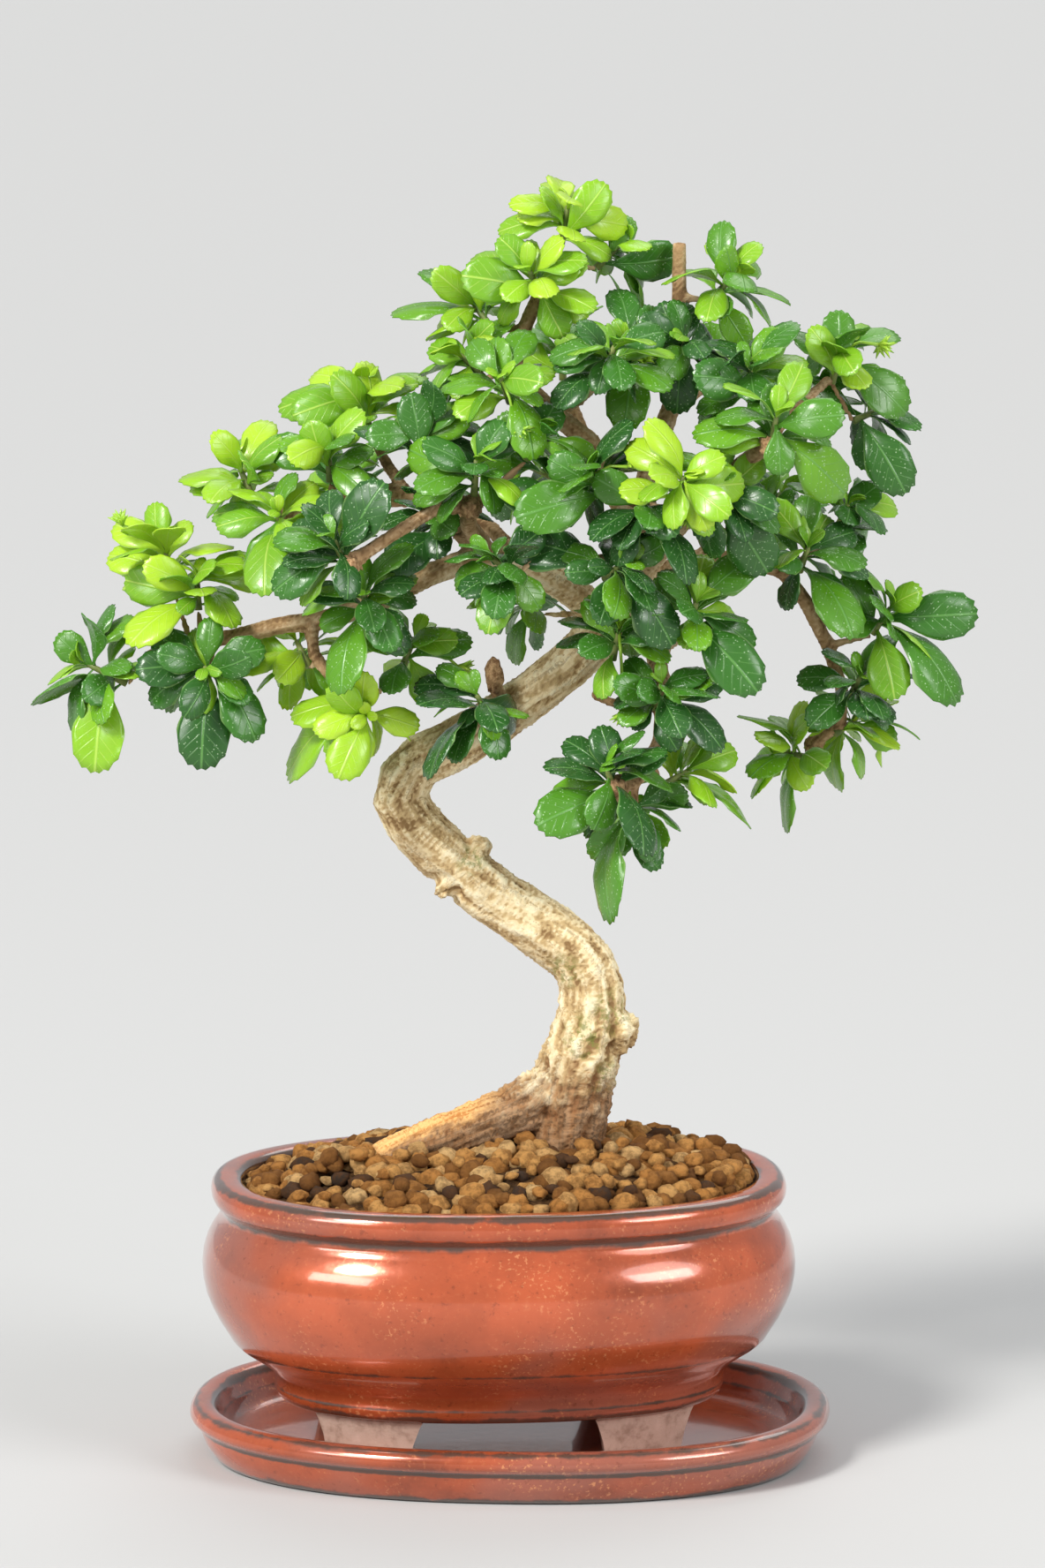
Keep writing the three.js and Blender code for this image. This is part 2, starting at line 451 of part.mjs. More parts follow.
function shootOf([x, y, z, tone, leaves]) {
  const middle = new THREE.Vector3(x, y, z);
  const limb = limbSpot(middle);
  const aim = shootAim(middle, limb.spot);
  const length = 3 + 1.5 * leaves.length;
  return { tip: middle.addScaledVector(aim, -0.5 * length), tone, leaves, limb, aim, length };
}

function twigSolid({ tip, limb, aim }) {
  const start = limb.spot;
  const length = Math.max(start.distanceTo(tip), 4);
  const rise = start.clone().lerp(tip, 0.3).add(new THREE.Vector3(0, 0, length * 0.06));
  const curve = new THREE.CubicBezierCurve3(start, rise, tip.clone().addScaledVector(aim, -0.4 * length), tip);
  const thick = Math.min(limb.radius * 0.8, 1.9);
  const bends = length > 26 ? 2 : 1;
  const stations = [];
  for (let k = 0; k <= bends; k++)
    stations.push([...curve.getPoint(k / bends).toArray(), thick + ((1.15 - thick) * k) / bends]);
  return tubeSolid(stations, TWIG_SIDES, bends);
}

function stemSolid({ tip, aim, length }) {
  const points = [0, 1].map((t) => {
    const spot = tip.clone().addScaledVector(aim, GAP + (length - GAP) * t);
    return [...spot.toArray(), STEM_RADIUS * (1 - STEM_TAPER * t)];
  });
  return tubeSolid(points, STEM_SIDES, 1);
}

// A leaf's frame from its angle in the front view, its lean and its roll: along, across and out of its face.
function leafFrame(angle, lean, roll) {
  const a = THREE.MathUtils.degToRad(angle);
  const b = THREE.MathUtils.degToRad(lean);
  const along = new THREE.Vector3(Math.cos(a) * Math.cos(b), -Math.sin(b), Math.sin(a) * Math.cos(b));
  const face = new THREE.Vector3(along.x * 0.3, -0.62, 0.78);
  face.addScaledVector(along, -face.dot(along)).normalize();
  face.applyAxisAngle(along, THREE.MathUtils.degToRad(roll));
  const across = new THREE.Vector3().crossVectors(face, along);
  return { along, across, face };
}

// Half of a leaf's outline: share of its length and of its half width, from its foot to its middle tooth.
const LEAF_OUTLINE = [[0, 0], [0.6, 1], [0.92, 0.66], [1, 0]];

// A spoon-shaped blade with a blunt toothed tip, arched along its length, the same on both faces.
function leafSolid(foot, { along, across, face }, length, half, thickness) {
  const arch = 0.13 * length;
  const spotAt = (share, side) => foot.clone()
    .addScaledVector(along, share * length)
    .addScaledVector(face, 4 * arch * share * (1 - share))
    .addScaledVector(across, side * half);
  const left = LEAF_OUTLINE.slice(1, -1).map(([s, w]) => spotAt(s, w));
  const right = LEAF_OUTLINE.slice(1, -1).map(([s, w]) => spotAt(s, -w));
  const ring = [spotAt(0, 0), ...right, spotAt(1, 0), ...left.reverse()];
  const points = [0.5, -0.5].flatMap((h) => ring.map((p) => p.clone().addScaledVector(face, h * thickness)));
  const blade = [[0, 1, 5], [1, 2, 4], [1, 4, 5], [2, 3, 4]];
  const triangles = [...blade, ...blade.map(([a, b, c]) => [a + 6, c + 6, b + 6])];
  for (let i = 0; i < 6; i++) {
    const j = (i + 1) % 6;
    triangles.push([i, i + 6, j + 6], [i, j + 6, j]);
  }
  return solidOf(geometryFrom(points, triangles));
}

// How wide half of a leaf is: short leaves are rounder.
function leafHalf(length) {
  return Math.min(0.36 * length, 1.5 + 0.26 * length);
}

// The changes of angle, lean and size that a leaf tries, in order, until it is clear of everything else.
const LEAF_TRIES = [
  [0, 0, 1], [0, 16, 1], [0, -16, 1], [13, 0, 1], [-13, 0, 1], [0, 32, 1], [0, -32, 1], [13, 24, 0.95],
  [-13, 24, 0.95], [13, -24, 0.95], [-13, -24, 0.95], [24, 0, 0.88], [-24, 0, 0.88], [0, 50, 0.88],
  [0, -50, 0.88], [30, 35, 0.8], [-30, 35, 0.8], [30, -35, 0.8], [-30, -35, 0.8],
];

function boxesMeet(a, b) {
  return [0, 1, 2].every((k) => a.min[k] <= b.max[k] && b.min[k] <= a.max[k]);
}

// Crossing volume of two solids.
function shared(a, b) {
  return boxesMeet(a.boundingBox(), b.boundingBox()) ? a.intersect(b).volume() : 0;
}

// Puts a shoot's leaves round its stem, each in the first place where it is clear of the wood and other shoots.
function addLeaves(shoot, wood, shoots) {
  shoot.leaves.forEach(([angle, length, lean, roll = LEAF_ROLL * Math.sin(7 * angle + 3 * length)], i) => {
    const nod = lean + LEAF_NOD * Math.sin(5 * angle + 2 * length);
    const up = 1.4 + ((shoot.length - 2) * (i + 0.5)) / shoot.leaves.length;
    const joint = shoot.tip.clone().addScaledVector(shoot.aim, up);
    for (const [k, [turn, tip, scale]] of [...LEAF_TRIES, ...LEAF_TRIES].entries()) {
      const allowed = k < LEAF_TRIES.length ? 0 : 0.5;
      const frame = leafFrame(angle + turn, nod + tip, roll);
      const foot = joint.clone().addScaledVector(frame.along, 0.3 * STEM_RADIUS);
      const long = length * scale;
      const room = leafSolid(foot, frame, long * 1.02, leafHalf(long) + 0.4, LEAF_ROOM);
      if (shared(room, wood) > 0) continue;
      if (shoots.some((other) => other !== shoot && shared(room, other.solid) > 0)) continue;
      const blade = leafSolid(foot, frame, long, leafHalf(long), LEAF_THICKNESS);
      if (shared(blade, shoot.blades) > allowed) continue;
      shoot.blades = shoot.blades.add(blade);
      shoot.solid = shoot.solid.add(blade);
      return;
    }
  });
}

const tray = new THREE.Group();
tray.position.x = TRAY_SHIFT;
tray.rotation.z = THREE.MathUtils.degToRad(TRAY_TURN);
tray.add(meshOf("drip_tray", traySolid(), trayGlaze));

const potted = new THREE.Group();
potted.position.z = TRAY_FLOOR;
potted.rotation.z = THREE.MathUtils.degToRad(POT_TURN);
potted.add(meshOf("pot", potSolid(), glaze));
const trunkRoom = trunkSolid(GAP + 0.1).translate([0, 0, -TRAY_FLOOR]).rotate([0, 0, -POT_TURN]);
potted.add(meshOf("soil", soilSolid(trunkRoom), soilBrown));

const tree = new THREE.Group();
const shoots = Object.entries(SHOOTS).map(([name, row]) => ({ name: "shoot_" + name, ...shootOf(row) }));
let wood = trunkSolid();
for (const stations of Object.values(LIMBS)) {
  const sides = stations[0][3] > 2.9 ? 5 : 4;
  wood = wood.add(tubeSolid(stations, sides, stations.length - 1));
}
for (const shoot of shoots) wood = wood.add(twigSolid(shoot));
for (const shoot of shoots) {
  shoot.solid = stemSolid(shoot);
  shoot.blades = shoot.solid;
  const room = tubeSolid([GAP / 2, shoot.length + GAP].map((far) => [
    ...shoot.tip.clone().addScaledVector(shoot.aim, far).toArray(), STEM_RADIUS + 1.5 * GAP]),
      TWIG_SIDES, 1);
  if (shared(room, wood) > 0) wood = wood.subtract(room);
}
for (const shoot of shoots) {
  shoot.blades = solidOf(new THREE.TetrahedronGeometry(0.01)).translate([0, 0, -999]);
  addLeaves(shoot, wood, shoots);
}
tree.add(meshOf("trunk", largest(wood), bark));
for (const shoot of shoots)
  tree.add(meshOf(shoot.name, largest(shoot.solid), shoot.tone > 0.5 ? youngLeaf : grownLeaf));

const bonsai = new THREE.Group();
bonsai.add(tray, potted, tree);

export default bonsai;
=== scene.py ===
import math
import random

import bmesh
import bpy
import numpy as np
from mathutils import Matrix, Vector, noise
from mathutils.bvhtree import BVHTree
from mathutils.kdtree import KDTree


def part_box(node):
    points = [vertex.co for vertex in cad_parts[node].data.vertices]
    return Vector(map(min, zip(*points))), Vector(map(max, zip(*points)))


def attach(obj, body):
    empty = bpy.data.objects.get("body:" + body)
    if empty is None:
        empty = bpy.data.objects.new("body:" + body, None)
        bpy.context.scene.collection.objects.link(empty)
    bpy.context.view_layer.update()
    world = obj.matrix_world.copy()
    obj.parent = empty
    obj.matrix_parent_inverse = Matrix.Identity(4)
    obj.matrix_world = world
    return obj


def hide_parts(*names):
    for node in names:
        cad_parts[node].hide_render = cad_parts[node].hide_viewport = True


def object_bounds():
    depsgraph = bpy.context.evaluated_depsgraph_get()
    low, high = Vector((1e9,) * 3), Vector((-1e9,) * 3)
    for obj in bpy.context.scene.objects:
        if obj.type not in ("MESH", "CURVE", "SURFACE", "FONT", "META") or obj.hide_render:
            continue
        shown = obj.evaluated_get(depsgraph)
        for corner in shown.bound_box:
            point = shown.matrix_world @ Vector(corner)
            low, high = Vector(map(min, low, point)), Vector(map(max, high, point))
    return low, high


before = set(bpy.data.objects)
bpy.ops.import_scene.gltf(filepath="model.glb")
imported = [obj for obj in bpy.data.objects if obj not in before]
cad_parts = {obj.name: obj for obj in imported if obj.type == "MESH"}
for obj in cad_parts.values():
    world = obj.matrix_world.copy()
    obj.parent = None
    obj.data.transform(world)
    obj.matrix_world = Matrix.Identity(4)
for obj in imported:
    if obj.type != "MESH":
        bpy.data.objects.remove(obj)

bl_info = {
    "name": "Fukien Tea Bonsai",
    "version": (1, 0, 0),
    "blender": (4, 5, 0),
    "location": "View3D > Sidebar > Bonsai",
    "description": "Builds a Fukien tea bonsai in its glazed pot, drip tray and soil",
    "category": "Add Mesh",
}

CAD_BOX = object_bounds()
MM = 0.001

# Stage, in metres: what the camera and the lights look at
MIDDLE = Vector((0.0064, 0, 0.183))
# Lights by kind, place beside the middle, power and other settings
LIGHTS = {
    "left_light": ("SUN", (-0.75, -0.85, 1.05), 2.7, {"angle": math.radians(14), "color": (1, 0.985, 0.95)}),
    "right_light": ("SUN", (0.95, -0.7, 0.7), 0.9, {"angle": math.radians(30), "color": (0.97, 0.98, 1)}),
    "back_light": ("SUN", (0.2, 0.9, 1.2), 0.7, {"angle": math.radians(40)}),
    "left_softbox": ("AREA", (-1.25, -1.3, 0.75), 11, {"shape": "RECTANGLE", "size": 0.9, "size_y": 0.4}),
    "right_softbox": ("AREA", (1.35, -1.1, 0.7), 7, {"shape": "RECTANGLE", "size": 0.8, "size_y": 0.4}),
}

# Sizes as in the part, in millimetres and degrees
GAP = 0.3  # between pieces that stand on or in each other
OVAL_POWER = 2.3  # 2 would be an ellipse, more is squarer
OVAL_NARROWING = 19.5  # how much shorter the oval's half depth is than its half length
TRAY_TURN = -4.5
TRAY_SHIFT = 3
POT_TURN = 4.5
POT_FOOT_Z = 17  # top of the feet
SOIL_EDGE_Z = 74.5
SOIL_MOUND = 13  # height of the heap over its edge
SOIL_REACH = (74, 56)  # from the heap's middle to where it runs out
SOIL_GRAIN = 7.5
SOIL_MIDDLE_X = 6
POT_INNER = 69  # half length of the pot's mouth

OVAL_SIDES = 160  # sides of the fine ovals
VOXEL = 0.8  # of the fine mesh of the wood
WOOD_POINTS = (5000, 99000)
BED_RINGS, BED_SIDES = 26, 96  # mesh of the soil under the granules
BED_HALF, BED_RISE, BED_BOTTOM_Z = 69.6, 1.4, 40
GRAIN_SHAPES = 7
CHIPPED_AT = 0.84  # from a granule's middle to its flat chips, as a share of its radius
SPACING, ROW_SPACING = 0.88, 0.87  # between granules, by their size, and between rows, by that spacing
UPPER_BARE = 0.62  # share of the upper layer that is left out
UPPER_RISE = 2.1
WALL_GRAINS = 84  # granules in the ring along the pot's wall
ROOT_END = (-41, -11)  # where a small heap of granules covers the end of the surface root
ROOT_HEAP, ROOT_HEAP_REACH = 3.6, 9
MOST_FACES = 195000  # of all granules

# Half length, height and how far the glaze has run thin there, from 0 to 1; the high values below the pot's
# lip are painted shade
POT_PROFILE = [
    (0, 17, 0.3), (40, 17, 0.3), (58.9, 17, 0.7), (59.6, 17.5, 0.9), (60.3, 18.4, 0.7), (60.8, 19.6, 0.2),
    (60.7, 20.5, 0.75), (60.8, 21.6, 0.2), (61, 23.6, 0), (62.3, 25.4, 0), (64.7, 27.4, 0), (68, 29.6, 0),
    (70.4, 31.2, 0.15), (71.6, 32.3, 0.75), (72.6, 33.5, 0.3), (74, 35.8, 0), (76, 39, 0), (77.8, 42.6, 0),
    (79.1, 46, 0), (79.8, 49.6, 0), (80, 53, 0), (79.6, 56.6, 0), (78.6, 60, 0.05), (77.3, 62.6, 0.1),
    (75.9, 64.6, 0.15), (74.6, 66.4, 0.35), (74.4, 67.6, 0.7), (74.8, 68.7, 0.95), (75.8, 69.6, 1),
    (76.8, 70.6, 0.5), (77.4, 72, 0.1), (77.5, 73.4, 0.1), (77.2, 74.8, 0.3), (76.6, 75.9, 0.8),
    (75.6, 76.7, 0.9), (74.2, 77, 0.35), (72, 77, 0.15), (70.6, 76.8, 0.6), (69.5, 76.2, 1), (69, 75, 1),
    (69.3, 71, 0.8), (70.5, 67, 0.6), (71.7, 58, 0.5), (71.8, 53, 0.5), (68, 43, 0.5), (57, 29, 0.5),
    (50, 23, 0.5), (0, 23, 0.5),
]
TRAY_PROFILE = [
    (0, 0, 0.5), (78.6, 0, 0.7), (79.9, 0.5, 0.9), (80.8, 1.8, 0.5), (81.9, 3.4, 0.1), (82.6, 4.6, 0),
    (83.3, 6.3, 0), (83.6, 7.6, 0.3), (83.7, 8.4, 0.95), (84.1, 9.2, 0.8), (85.4, 9.9, 0.2),
    (86.2, 10.8, 0), (86.5, 11.7, 0), (86.3, 12.9, 0.15), (85.7, 13.9, 0.5), (84.8, 14.6, 0.8),
    (83.6, 15, 0.5), (82.2, 15, 0.2), (80.9, 14.8, 0.5), (79.9, 14.3, 0.95), (79.3, 13.2, 0.8),
    (78.9, 12, 0.4), (78.2, 10.4, 0.2), (77.6, 9.4, 0.7), (77.3, 8.6, 0.4), (76.8, 6.8, 0.3),
    (75.6, 5.6, 0.5), (73.6, 5.05, 0.4), (70, 5, 0.2), (0, 5, 0.1),
]

# Centre lines of the trunk, limbs and root, as in the part: x, y, z and radius
TRUNK = [
    (19, 2, 60, 9), (17.8, 1, 78, 10.2), (19, 0, 95, 10.8), (22.4, 0, 109, 10.9), (25, 0, 121, 9.4),
    (24.6, 0, 130, 8.5), (19.8, 0, 137.6, 8.3), (11.2, 0, 144, 8.3), (-0.8, 0, 152, 7.8),
    (-11.4, 0, 161.4, 8), (-21.6, 0, 170.6, 7.5), (-26.4, 0, 180, 7.6), (-22.4, 0, 188, 7.2),
    (-11.3, 0, 193.6, 7), (4.5, 0, 204.2, 6.5), (19.4, 0, 215.6, 6.3), (29.5, 0, 226.7, 6.3),
    (36.5, 0, 237, 4.6),
]
LIMBS = [
    [(29.5, 0, 226.7, 6), (36.5, 0, 237, 5.4), (36, -2, 252, 4.5), (31, -4, 264, 3.7), (24, -6, 276, 3.2),
     (12, -6, 286, 2.8), (4, -5, 295, 2.5), (7, -3, 306, 2.2), (12, -2, 318, 1.9), (15, 0, 326, 1.6)],
    [(29, 0, 227, 5), (20, -3, 235, 4.6), (8, -5, 243, 4.2), (-4, -7, 246, 3.8), (-18, -9, 241, 3.4),
     (-32, -10, 234, 3.1), (-45, -9, 229, 2.9), (-58, -7, 227, 2.6), (-70, -7, 224, 2.3), (-82, -6, 222, 1.9),
     (-93, -7, 219, 1.6)],
    [(-50, -9, 228, 2.2), (-49, -12, 220, 2), (-43, -14, 212, 1.8), (-35, -14, 207, 1.5)],
    [(-2, -7, 245, 3), (-8, -20, 256, 2.6), (-7, -29, 262, 2.4), (-16, -32, 262, 2.1), (-28, -36, 255, 1.9),
     (-39, -38, 248, 2.1)],
    [(-4, -7, 245, 3), (-14, -4, 256, 2.6), (-26, -2, 262, 2.3), (-38, -2, 263, 2), (-50, -4, 259, 1.8),
     (-58, -8, 257, 1.5)],
    [(-24, -2, 261, 2), (-31, 3, 271, 1.7), (-34, 7, 278, 1.4)],
    [(36, -2, 250, 3.8), (40, 0, 268, 3.2), (46, 2, 285, 2.8), (48, 2, 300, 2.5), (48, 2, 314, 2.2),
     (48, 2, 328, 2)],
    [(36.5, 0, 238, 3.6), (46, -8, 252, 3.1), (56, -18, 264, 2.7), (64, -27, 273, 2.4), (71, -34, 279, 2.3)],
    [(56, -18, 264, 2.2), (70, -10, 276, 2), (82, -2, 287, 1.7), (88, 3, 292, 1.4)],
    [(36.5, 1, 237, 3.2), (52, 6, 243, 2.8), (66, 6, 243, 2.5), (76, 2, 240, 2.3), (82, 2, 232, 2.2),
     (88, 4, 220, 2.1), (92, 6, 208, 2), (92, 8, 198, 1.8), (83, 10, 191, 1.5)],
    [(30, 0, 226, 3.8), (41, -8, 222, 3.2), (44, -16, 210, 2.8), (43, -22, 198, 2.5), (38, -28, 190, 2.2),
     (31, -34, 188, 2.5)],
    [(44, -17, 208, 2), (34, -22, 207, 1.6), (25, -24, 211, 1.4)],
    [(36, -2, 249, 2.8), (38, -18, 256, 2.3), (39, -31, 262, 1.9)],
    [(37, -10, 252, 2.2), (33, -24, 248, 1.9), (22, -34, 248, 1.6), (8, -37, 248, 1.4)],
    [(36.5, 0, 239, 3), (34, 16, 252, 2.6), (26, 30, 266, 2.2), (18, 40, 284, 1.7)],
    [(8, -5, 242, 2.8), (-2, 14, 250, 2.4), (-16, 28, 256, 2), (-38, 33, 254, 1.6)],
    [(46, 2, 283, 2.2), (54, 18, 287, 1.9), (61, 34, 284, 1.5)],
    [(52, 6, 242, 2.3), (60, 22, 247, 1.9), (71, 33, 250, 1.5)],
    [(4, -3, 201, 2.8), (1, -9, 206, 2.3), (-2, -11, 214, 2.2)],
]
SURFACE_ROOT = [
    (20, 0, 105, 8.5), (9, -2, 96, 7.4), (-8, -4, 90, 6.6), (-22, -6, 85.6, 5.8), (-36, -8, 79.2, 4.6),
    (-48, -9, 70.5, 3),
]
# Burrs and healed cuts: x, y, z and radius
BURRS = [(-5.5, -1, 165.5, 4), (32.4, -2, 116, 5.6), (-15, -4, 155, 4)]
HIGH_BURRS_Z = 145  # above it the burrs are lower than the part has them
# Heights between which the bark turns knobbly and dark towards the foot
KNOBBLY_Z, DARK_Z = (132, 112), (112, 96)
# Rough knobs where a branch was cut and a shoot grew
KNOBS = [
    (-39, -38, 248), (31, -34, 188), (71, -34, 279), (-7, -29, 262), (84, 10, 191), (-58, -8, 257),
    (39, -31, 262),
]
KNOBS_Z = 180  # all knobs are above it
CUT_STUB = (-1.2, -11.8, 214.5, 2.4, 2.4, 4.6)  # middle and half sizes of the low stub's frayed top
# Mossy and rough patches of the bark: x, y, z and reach
MOSS = [(31, -8, 122, 9), (17, -8, 133, 7), (23, -10, 116, 9), (-7, -7, 164, 6), (29, -9, 104, 8)]

# Shoots, as in the part: the rosette's middle, how young its leaves are, and for each leaf its angle, length,
# lean and, where it is given, its roll
SHOOTS = {
    "far_left": (-104, -8, 214, 0.4, [(190, 25, 0, 60), (207, 15, 25), (-98, 27, 20, 0), (-10, 16, 30),
        (140, 14, 10), (58, 17, 5)]),
    "left_low": (-77, -14, 216, 0.15, [(-95, 27, 25, 0), (-52, 23, 15, 0), (176, 20, 10), (-130, 19, -20),
        (20, 17, -10)]),
    "left_mid": (-80, -5, 235, 0.8, [(207, 24, 0, 0), (168, 20, -10), (-32, 18, 25), (25, 16, 0)]),
    "left_rise": (-88, 0, 242, 0.9, [(166, 18, 0), (24, 19, 0), (60, 12, 5), (105, 14, -5)]),
    "left_tip": (-67, 0, 264, 0.75, [(165, 20, 0), (62, 16, 0), (-150, 17, 15), (25, 13, 0)]),
    "left_bend": (-58, -14, 256, 0.6, [(-104, 25, 30), (-10, 18, 10), (75, 13, 0), (150, 15, -25)]),
    "crown_left": (-35, 8, 281, 0.75, [(146, 20, -10), (122, 19, 5), (92, 16, 0), (58, 18, 0), (25, 17, 0),
        (180, 23, 10), (203, 22, 10)]),
    "shoulder_left": (-45, -5, 270, 0.55, [(152, 18, 10), (110, 15, 0), (60, 17, 10), (5, 15, 0),
        (-160, 17, 10)]),
    "knob_left": (-41, -40, 250, 0.1, [(112, 20, 5), (62, 25, -10), (205, 20, 10), (-75, 15, 30),
        (15, 15, 0)]),
    "under_left": (-35, -28, 236, 0.15, [(-108, 26, 15), (-62, 17, 10), (160, 15, 20), (20, 14, 0)]),
    "inner_left": (-52, -6, 219, 0.7, [(172, 19, 0), (-40, 14, 10), (-135, 15, 10), (60, 12, 0)]),
    "pale_left": (-35, -15, 205, 0.95, [(-143, 30, 10), (166, 20, 0), (-115, 21, 20), (-35, 14, 0)]),
    "centre_left": (-24, -10, 220, 0.5, [(-115, 15, 20), (-62, 15, 0), (15, 14, 10), (-10, 15, -25)]),
    "low_front": (-4, -19, 207, 0.05, [(167, 23, 15), (-133, 26, 25), (-85, 16, 25), (60, 17, -5),
        (-55, 20, -10)]),
    "knob_low": (30, -36, 189, 0.1, [(197, 26, 10), (158, 21, 10), (100, 16, 15), (-62, 27, 25),
        (-108, 17, 20), (-15, 18, 0)]),
    "hanging": (36, -26, 181, 0.2, [(-108, 32, 5, 50), (-72, 15, 0), (-25, 14, 0)]),
    "pale_low": (47, -20, 188, 0.8, [(160, 18, 10), (-35, 27, 0), (-75, 14, 10), (60, 14, 10), (20, 15, 0)]),
    "right_low": (42, -29, 211, 0.15, [(20, 20, 15), (-22, 22, 10), (-58, 19, 10), (195, 13, 0)]),
    "trunk_front": (31, -29, 225, 0.35, [(-108, 14, 10), (20, 14, 10), (125, 14, 0), (-60, 14, 20)]),
    "right_inner": (51, -28, 232, 0.3, [(15, 17, 10), (-42, 27, -5), (-75, 15, 10), (150, 14, 10),
        (38, 20, 0, 0)]),
    "drop_low": (81, 10, 189, 0.7, [(-112, 21, 10), (140, 21, 0, 55), (120, 16, -10), (-60, 13, 0)]),
    "drop_end": (93, 9, 197, 0.7, [(-60, 14, 10), (-95, 19, 5), (-20, 14, 0), (35, 14, 0)]),
    "drop_mid": (95, 0, 209, 0.2, [(-32, 15, 15), (-62, 18, 0), (30, 13, 0), (-110, 14, -10)]),
    "far_right": (102, 0, 227, 0.3, [(-75, 21, 15), (-42, 30, 0), (4, 25, -5, 48), (40, 14, 0)]),
    "right_droop": (81, -10, 245, 0.15, [(-52, 27, 15), (-108, 14, 20), (-78, 27, -10), (20, 15, 0)]),
    "right_mid": (91, 5, 253, 0.25, [(0, 14, 0), (-27, 18, 0), (42, 14, 0), (150, 17, 10), (-70, 17, 15)]),
    "knob_right": (72, -37, 282, 0.5, [(85, 16, 15), (175, 21, 15), (-40, 27, 10), (15, 20, 5),
        (-85, 14, 0)]),
    "right_crown": (90, 4, 295, 0.5, [(126, 16, 5), (86, 16, 0), (0, 23, 0, 20), (-40, 23, 0, 25),
        (-150, 14, 10)]),
    "right_edge": (98, 10, 281, 0.1, [(-57, 24, 0, 25), (168, 26, 0), (-20, 15, 0), (55, 12, 0)]),
    "top_right": (59, 0, 316, 0.55, [(-8, 20, 5), (-38, 22, -10), (168, 21, 10), (50, 13, 0)]),
    "upper_right": (49, -10, 301, 0.15, [(112, 15, 15), (172, 17, 10), (-28, 17, 0), (-110, 20, 15, 0)]),
    "apex": (17.5, 0, 333, 0.95, [(50, 18, 10), (118, 14, 5), (165, 13, 10), (-8, 17, 0), (200, 15, 0)]),
    "under_apex": (10, -7, 318, 0.7, [(165, 23, 5), (-62, 15, 15), (30, 14, 5), (205, 15, 10), (130, 14, -5),
        (-12, 20, 5, 0)]),
    "top_left": (-4, 5, 308, 0.6, [(173, 26, 0), (138, 22, 0), (90, 14, 5), (205, 15, 10)]),
    "left_crest": (-7, -5, 296, 0.6, [(152, 15, 5), (185, 17, 10), (60, 14, 0), (-135, 16, 10)]),
    "crest_front": (2, -25, 292, 0.55, [(160, 17, 5), (102, 15, 0), (-62, 21, 15), (20, 14, 0),
        (-130, 15, 10)]),
    "mid_front": (29, -29, 300, 0.2, [(-150, 18, 15), (120, 14, 10), (170, 17, 5), (-60, 14, 10),
        (20, 15, 5)]),
    "mid_top": (37, -10, 300, 0.3, [(150, 21, 0), (75, 14, 0), (-100, 22, 15, 0), (-145, 18, 20),
        (-10, 15, 5)]),
    "top_gap": (29, 5, 324, 0.4, [(3, 21, 0, 60), (60, 13, 0), (-50, 15, 5), (-120, 13, 10)]),
    "lime_front": (47, -45, 268, 0.95, [(165, 15, 5), (190, 14, 5), (5, 18, 10), (38, 14, 0),
        (-160, 14, 20)]),
    "big_front": (39, -38, 262, 0.08, [(-55, 25, 20), (-120, 17, 15), (150, 16, 0)]),
    "big_right": (58, -35, 267, 0.08, [(-58, 25, 20), (-20, 18, 0), (200, 14, 0), (-100, 20, 5)]),
    "dark_front": (27, -36, 268, 0.05, [(192, 27, 10), (150, 16, 0), (-65, 20, 15), (62, 18, 0)]),
    "trunk_dark": (30, -39, 246, 0.1, [(172, 28, 10), (-48, 25, 15), (-95, 18, 5), (40, 14, 0)]),
    "round_front": (2, -40, 247, 0.12, [(-110, 14, 20), (150, 15, 5), (-50, 15, 10), (35, 15, 5)]),
    "knob_front": (-6, -34, 270, 0.3, [(10, 25, 5), (-130, 15, 10), (160, 20, 5), (60, 15, 0),
        (-35, 18, 10)]),
    "centre_front": (9, -30, 278, 0.15, [(60, 16, 5), (110, 16, 5), (-20, 18, 10), (190, 15, 5)]),
    "shoulder_front": (-20, -25, 276, 0.12, [(150, 21, 5), (100, 17, 5), (42, 16, 0), (-10, 16, 10),
        (-160, 17, 10)]),
    "inner_dark": (-15, -14, 255, 0.08, [(-150, 21, 10), (150, 15, 0), (-62, 17, 10), (-20, 17, 5)]),
    "under_mid": (8, 14, 230, 0.3, [(-110, 16, 5), (-70, 16, 5), (-150, 16, 0), (-30, 15, 0)]),
    "right_dark": (67, -15, 293, 0.12, [(160, 22, 5), (-20, 19, 5), (60, 15, 0), (-80, 18, 10)]),
    "back_crown": (17, 44, 292, 0.5, [(150, 18, -35), (90, 17, -20), (30, 18, -35), (200, 18, -30),
        (-30, 18, -40), (-90, 16, -45)]),
    "back_left": (-42, 36, 256, 0.4, [(160, 20, -25), (110, 17, -30), (50, 17, -40), (200, 19, -20),
        (-100, 17, -30), (-40, 17, -50)]),
    "back_right": (64, 38, 288, 0.35, [(20, 19, -30), (75, 16, -25), (130, 17, -40), (-30, 19, -25),
        (-90, 18, -40)]),
    "back_low": (74, 36, 252, 0.3, [(15, 19, -30), (-40, 20, -25), (90, 16, -30), (160, 17, -50),
        (-95, 18, -35)]),
    "back_middle": (10, 44, 262, 0.25, [(170, 19, -40), (110, 16, -50), (20, 18, -40), (-60, 18, -40),
        (-120, 18, -35)]),
}

# Where some shoots hold a stalk of calyces
FLOWERS = {
    "right_crown": (101, 2, 301), "lime_front": (50, -48, 263), "trunk_front": (33, -33, 208),
    "mid_top": (38, -20, 300), "crest_front": (5, -33, 283), "centre_left": (-11, -13, 217),
    "left_rise": (-100, -2, 253), "dark_front": (34, -41, 274),
}

